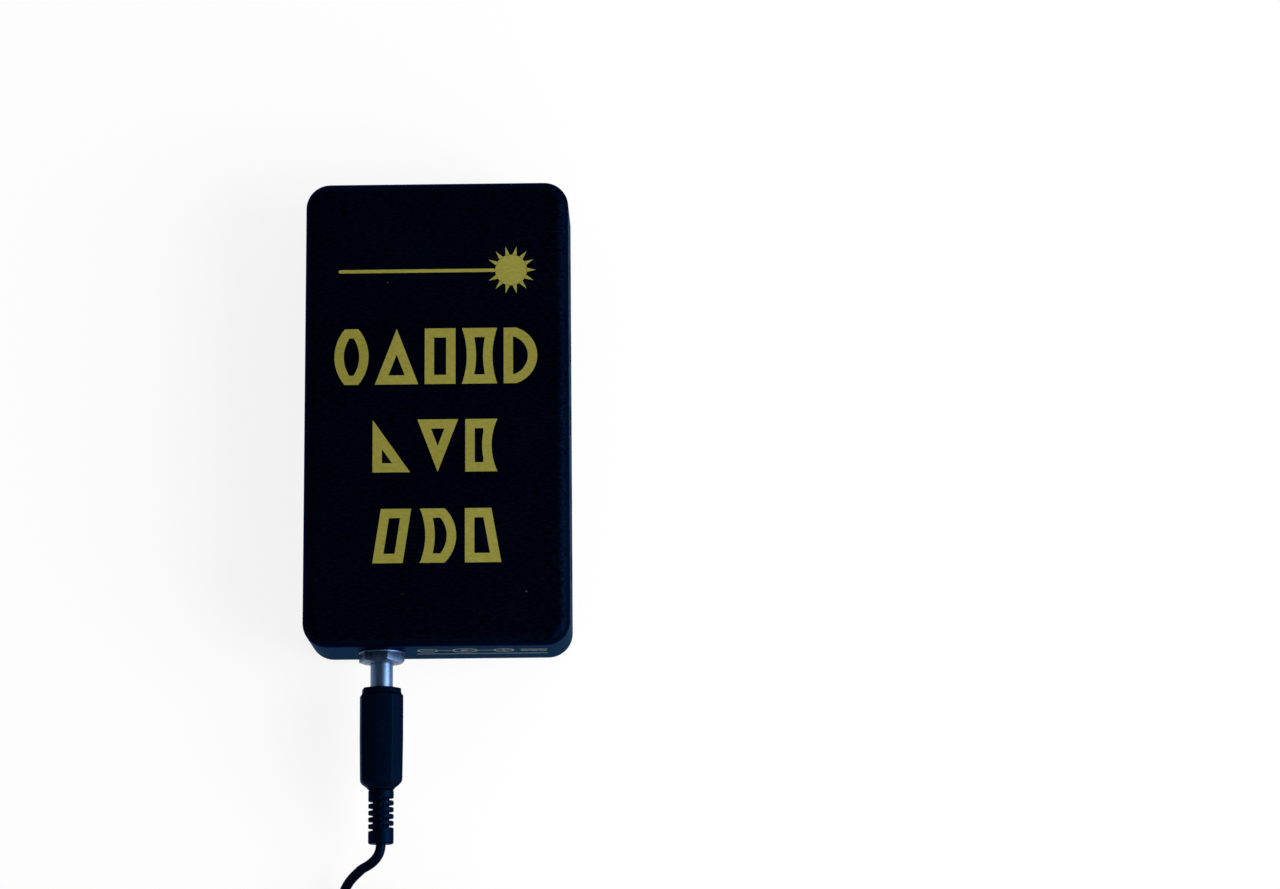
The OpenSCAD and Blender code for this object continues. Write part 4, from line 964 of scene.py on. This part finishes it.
# Cylinder with half-round slots, staggered left and right, softened as a moulding is
def makeRelief(centre):
    low, high = nodeBox("plug_strain_relief")
    outside, core = plugSizes["relief"] / 2, plugSizes["core"] / 2
    pitch = (high.y - low.y - plugSizes["neck"] - plugSizes["endCollar"]) / (plugSizes["slots"] + 0.3)
    width = plugSizes["slotShare"] * pitch
    outline = eased([(0, high.y), (outside, high.y), (outside, low.y), (0, low.y)], 0.5, 4)
    relief = turned(outline, centre, "Y", steps=48)
    cutters = []
    for side in (-1, 1):
        first = high.y - plugSizes["neck"] - (0.3 if side > 0 else 0.8) * pitch
        start, end = first - width / 2, first + width / 2
        ring = turned([(core, start), (outside + 1, start), (outside + 1, end), (core, end), (core, start)],
                      centre, "Y", steps=32)
        keep = startBox((centre.x + min(side * 0.3, side * 9), first - 1, centre.z - 9),
                        (centre.x + max(side * 0.3, side * 9), first + 1, centre.z + 9))
        cutBy(ring, keep, "INTERSECT")
        cutters.append(ring)
        cutters += [copyOf(ring, (0, -pitch * i, 0)) for i in range(1, plugSizes["slots"])]
    cutBy(relief, joined(cutters))
    applyModifier(relief, "REMESH", mode="VOXEL", voxel_size=plugSizes["voxel"], use_smooth_shade=True)
    applyModifier(relief, "SMOOTH", factor=0.5, iterations=7)
    finish(relief, "plug_slotted_relief", "power_lead", "black_moulding", ["plug_strain_relief"], angle=60)


makePlug()
print("plug made")


# Tie round the coil

tieSizes = {"width": 4, "thickness": 0.6, "headLength": 5, "headHeight": 2}


def makeTie():
    low, high = nodeBox("coil_tie")
    thick = tieSizes["thickness"]
    top = high.z - tieSizes["headHeight"]
    middle = (low.y + high.y) / 2
    start, end = middle - tieSizes["width"] / 2, middle + tieSizes["width"] / 2

    def ringBox(inset, corner, extra):
        box = startBox((low.x + inset, start - extra, low.z + inset),
                       (high.x - inset, end + extra, top - inset))
        bevelEdges(box, corner, 8, pickEdges, lambda a, b: abs(a.y - b.y) > 1)
        return box

    band = ringBox(0, 1.9, 0)
    cutBy(band, ringBox(thick, 1.3, 1))
    bevelEdges(band, 0.14, 2, pickSharpEdges, 60)
    middleX, halfHead = (low.x + high.x) / 2, tieSizes["headLength"] / 2
    head = startBox((middleX - halfHead, low.y, top - 0.1), (middleX + halfHead, high.y, high.z))
    openForEdit(head)
    pickFaces(lambda place, normal: normal.z > 0.9)
    bpy.ops.mesh.inset(thickness=0.35)
    bpy.ops.mesh.inset(thickness=0.7)
    bpy.ops.mesh.extrude_region_move(TRANSFORM_OT_translate={"value": (0, 0, -0.8)})
    pickSharpEdges(60)
    bpy.ops.mesh.bevel(offset=0.2, segments=3, affect="EDGES")
    closeEdit()
    stub = startBox((middleX - halfHead - 1.6, middle - 1.7, top + 0.5), (middleX, middle + 1.7, top + 1.2))
    bevelEdges(stub, 0.15, 2, pickSharpEdges, 60)
    finish(joined([band, head, stub]), "cable_tie", "power_lead", "white_tie", ["coil_tie"])


makeTie()
print("coil tied")


# Adapter on the lead's far end: two shells, a boss with two mains pins, a strain relief

adapterSizes = {
    "corner": 5, "edge": 2, "wall": 2, "seam": 0.35, "bossLength": 34, "bossWidth": 14, "bossCorner": 6,
    "recess": (26, 30), "recessDepth": 0.5, "pin": 4, "sleeveLength": 10, "pinTip": 1.2,
    "reliefWide": 7, "reliefNarrow": 4, "grooves": 6, "groovePitch": 2.6, "grooveCore": 3.6,
}


# One half of the adapter: a hollow shell, open where the halves meet
def adapterHalf(low, high, openUp):
    half = openShell(low, high, adapterSizes["corner"], adapterSizes["edge"], adapterSizes["wall"], 12)
    openForEdit(half)
    pickEdges(lambda a, b: max(a.z, b.z) < low[2] + 1e-3 and isOnRim(a, low, high) and isOnRim(b, low, high))
    bpy.ops.mesh.bevel(offset=adapterSizes["seam"], segments=2, affect="EDGES")
    if openUp:
        mesh = bmesh.from_edit_mesh(half.data)
        for vert in mesh.verts:
            vert.co.z = low[2] + high[2] - vert.co.z
        bmesh.update_edit_mesh(half.data)
        bpy.ops.mesh.select_all(action="SELECT")
        bpy.ops.mesh.normals_make_consistent(inside=False)
    closeEdit()
    return half


# Whether a point lies on the outer rim of a box with round corners
def isOnRim(point, low, high):
    corner = adapterSizes["corner"]
    x = max(low[0] + corner - point.x, point.x - high[0] + corner, 0)
    y = max(low[1] + corner - point.y, point.y - high[1] + corner, 0)
    return (math.hypot(x, y) if x and y else max(x, y)) > corner - 0.05


def makeAdapter():
    low, high = nodeBox("adapter_case")
    middle = (low + high) / 2
    relief = middleOf("adapter_strain_relief")
    case = adapterHalf(low, high, True)
    cutBy(case, turned([(0, high.y - 4), (3.6, high.y - 4), (3.6, high.y + 1), (0, high.y + 1)],
                       relief, "Y", steps=48))
    finish(case, "adapter_lower_shell", "power_lead", "adapter_plastic", ["adapter_case"], weighted=True)

    coverLow, coverHigh = nodeBox("adapter_cover")
    pinLow, pinHigh = nodeBox("adapter_pins")
    top = coverHigh.z - 2
    cover = adapterHalf(coverLow, Vector((coverHigh.x, coverHigh.y, top)), False)
    pinsY = (pinLow.y + pinHigh.y) / 2
    boss = roundedBox(*cornersRound(middle.x, pinsY, adapterSizes["bossLength"], adapterSizes["bossWidth"],
                                    top - 1, coverHigh.z), adapterSizes["bossCorner"], 0.6)
    cutBy(cover, boss, "UNION")
    wide, long = adapterSizes["recess"]
    recessY = (pinsY + adapterSizes["bossWidth"] / 2 + high.y) / 2
    recess = roundedBox(*cornersRound(middle.x, recessY, wide, long, top - adapterSizes["recessDepth"],
                                      top + 1), 2, 0)
    cutBy(cover, recess)
    finish(cover, "adapter_upper_shell", "power_lead", "adapter_plastic", ["adapter_cover"], weighted=True)

    pins, sleeves = [], []
    radius = adapterSizes["pin"] / 2
    for x in (pinLow.x + radius + 1, pinHigh.x - radius - 1):
        foot = (x, pinsY, 0)
        sleeveTop = coverHigh.z + adapterSizes["sleeveLength"]
        outline = eased([(0, pinLow.z), (radius + 1, pinLow.z), (radius + 1, pinLow.z + 1),
                         (radius - 0.3, pinLow.z + 1), (radius - 0.3, sleeveTop - 0.2),
                         (radius, sleeveTop - 0.2), (radius, pinHigh.z - adapterSizes["pinTip"]),
                         (radius - 0.8, pinHigh.z), (0, pinHigh.z)], 0.5, 4)
        pins.append(turned(outline, foot, "Z", steps=48))
        outline = eased([(radius - 0.4, coverHigh.z - 0.5), (radius, coverHigh.z - 0.5), (radius, sleeveTop),
                         (radius - 0.4, sleeveTop), (radius - 0.4, coverHigh.z - 0.5)], 0.1)
        sleeves.append(turned(outline, foot, "Z", steps=48))
    metal = finish(joined(pins), "mains_pins", "power_lead", "nickel", ["adapter_pins"])
    metal.data.materials[0] = finishes["pinMetal"]
    finish(joined(sleeves), "mains_pin_sleeves", "power_lead", "black_plastic")

    low, high = nodeBox("adapter_strain_relief")
    face = nodeBox("adapter_case")[1].y
    wide, narrow = adapterSizes["reliefWide"] / 2, adapterSizes["reliefNarrow"] / 2
    core = adapterSizes["grooveCore"] / 2

    def coneRadius(y):
        return wide + (narrow - wide) * (y - face) / (high.y - face)

    outline = [(0, low.y), (wide + 1.5, low.y), (wide + 1.5, low.y + 1.5), (wide, low.y + 1.5), (wide, face)]
    for i in range(adapterSizes["grooves"]):
        y = face + 3 + i * adapterSizes["groovePitch"]
        outline += [(coneRadius(y), y), (core, y + 0.1), (core, y + 0.9), (coneRadius(y + 1), y + 1)]
    outline += [(narrow, high.y), (0, high.y)]
    cone = turned(eased(outline, 0.25, 3), relief, "Y", steps=48)
    finish(cone, "adapter_ribbed_relief", "power_lead", "black_moulding", ["adapter_strain_relief"], angle=40)


makeAdapter()
print("adapter made")


# Beam selector on the far end: ridged lever and two pan-head screws

selectorSizes = {"screwHead": 3.8, "screw": 2.0, "recessWidth": 0.55, "recessLength": 2.1,
                 "recessDepth": 0.6, "lever": 4.0, "footLength": 7.0}


def makeSelector():
    low, high = nodeBox("selector_slider")
    middle = (low + high) / 2
    face = nodeBox("case_shell")[1].y
    half = selectorSizes["lever"] / 2
    lever = startBox((middle.x - half, face - 3, middle.z - half), (middle.x + half, high.y, middle.z + half))
    bevelEdges(lever, 0.45, 4, pickSharpEdges, 60, lambda place: place.y > face)
    grooves = []
    for i in (-1, 0, 1):
        x = middle.x + i * half / 1.8
        groove = startBox((x - 0.28, high.y - 0.45, middle.z - half - 1),
                          (x + 0.28, high.y + 1, middle.z + half + 1))
        bevelEdges(groove, 0.2, 3, pickEdges, lambda a, b: max(a.y, b.y) < high.y and abs(a.z - b.z) > 1)
        grooves.append(groove)
    cutBy(lever, joined(grooves))
    foot = startBox((middle.x - selectorSizes["footLength"] / 2, low.y, low.z),
                    (middle.x + selectorSizes["footLength"] / 2, face - 2.8, high.z))
    bevelEdges(foot, 0.2, 2, pickSharpEdges, 60)
    finish(joined([lever, foot]), "selector_lever", "selector", "black_plastic", ["selector_slider"])

    low, high = nodeBox("selector_screws")
    radius = selectorSizes["screwHead"] / 2
    centre = Vector((low.x + radius, 0, middle.z))
    shank = selectorSizes["screw"] / 2
    outline = [(0, high.y), (0.5 * radius, high.y - 0.08), (0.75 * radius, high.y - 0.25),
               (0.92 * radius, high.y - 0.55), (radius, high.y - 0.9), (radius, face), (shank, face),
               (shank, low.y + 0.3), (shank - 0.3, low.y), (0, low.y)]
    screw = turned(outline, centre, "Y", steps=48)
    long, wide = selectorSizes["recessLength"] / 2, selectorSizes["recessWidth"] / 2
    for a, b in ((long, wide), (wide, long)):
        cutBy(screw, startBox((centre.x - a, high.y - selectorSizes["recessDepth"], centre.z - b),
                              (centre.x + a, high.y + 1, centre.z + b)))
    bevelEdges(screw, 0.05, 2, pickSharpEdges, 50, lambda place: place.y > face + 0.2)
    other = copyOf(screw, (high.x - low.x - 2 * radius, 0, 0))
    finish(joined([screw, other]), "selector_pan_screws", "root", "steel", ["selector_screws"])


makeSelector()
print("selector made")


# Floor, lights and surroundings

studio = {
    "floorSize": 12, "floorDrop": 0.02, "floorColour": (0.88, 0.88, 0.88, 1), "whitening": 0.86,
    "keyPlace": (0.95, -0.25, 0.55), "keySize": 0.9, "keyPower": 20.0,
    "rightSide": 1.8, "leftSide": 0.6, "overhead": 0.12,
}


# The floor is pale; seen by the camera, in metal or through glass it is drawn nearer to white
def makeFloor():
    deselectAll()
    bpy.ops.mesh.primitive_plane_add(size=studio["floorSize"], location=(0, 0, -studio["floorDrop"] * mm))
    floor = bpy.context.object
    floor.name = "floor"
    material = bpy.data.materials.new("paleFloor")
    material.use_nodes = True
    tree = material.node_tree
    shader = tree.nodes["Principled BSDF"]
    shader.inputs["Base Color"].default_value = studio["floorColour"]
    shader.inputs["Roughness"].default_value = 0.9
    shader.inputs["Specular IOR Level"].default_value = 0.0
    white = addNode(tree, "Emission", {"Color": (1, 1, 1, 1), "Strength": 1.0}).outputs[0]
    share = mathNode(tree, "MULTIPLY", seenRays(tree), studio["whitening"])
    mixed = addNode(tree, "MixShader", {0: share, 1: shader.outputs[0], 2: white}).outputs[0]
    tree.links.new(mixed, tree.nodes["Material Output"].inputs["Surface"])
    floor.data.materials.append(material)


# 1 for rays that come from the camera, a reflection or glass
def seenRays(tree):
    path = addNode(tree, "LightPath").outputs
    reflected = mathNode(tree, "MAXIMUM", path["Is Glossy Ray"], path["Is Transmission Ray"])
    return mathNode(tree, "MAXIMUM", path["Is Camera Ray"], reflected)


def makeLights():
    light = bpy.data.lights.new("softKey", "AREA")
    light.shape = "DISK"
    light.size = studio["keySize"]
    light.energy = studio["keyPower"]
    key = bpy.data.objects.new("softKey", light)
    bpy.context.scene.collection.objects.link(key)
    key.location = studio["keyPlace"]
    key.rotation_euler = (-Vector(studio["keyPlace"])).to_track_quat("-Z", "Y").to_euler()
    world = bpy.data.worlds.new("studio")
    bpy.context.scene.world = world
    world.use_nodes = True
    tree = world.node_tree
    way = addNode(tree, "SeparateXYZ", {0: addNode(tree, "TexCoord").outputs["Generated"]}).outputs
    side = addNode(tree, "MapRange", {"Value": way["X"], "From Min": -0.8, "From Max": 0.8,
                                      "To Min": studio["leftSide"], "To Max": studio["rightSide"]},
                   interpolation_type="SMOOTHSTEP").outputs[0]
    level = addNode(tree, "MapRange", {"Value": way["Z"], "From Min": 0.3, "From Max": 0.8,
                                       "To Min": side, "To Max": studio["overhead"]},
                    interpolation_type="SMOOTHSTEP").outputs[0]
    camera = addNode(tree, "LightPath").outputs["Is Camera Ray"]
    strength = mathNode(tree, "MAXIMUM", level, camera)
    background = tree.nodes["Background"]
    tree.links.new(strength, background.inputs["Strength"])
    background.inputs["Color"].default_value = (1, 1, 1, 1)


makeFloor()
makeLights()
bpy.context.scene.view_settings.view_transform = "Standard"
print("studio lit")

onLead = [bpy.data.objects[name] for name in (
    "plug_barrel", "plug_contact", "plug_moulded_grip", "plug_slotted_relief", "cable_tie",
    "adapter_lower_shell", "adapter_upper_shell", "mains_pins", "mains_pin_sleeves", "adapter_ribbed_relief")]
onLead += [frame["nodes"][name] for name in ("plug_insulator", "adapter_transformer", "adapter_board")]
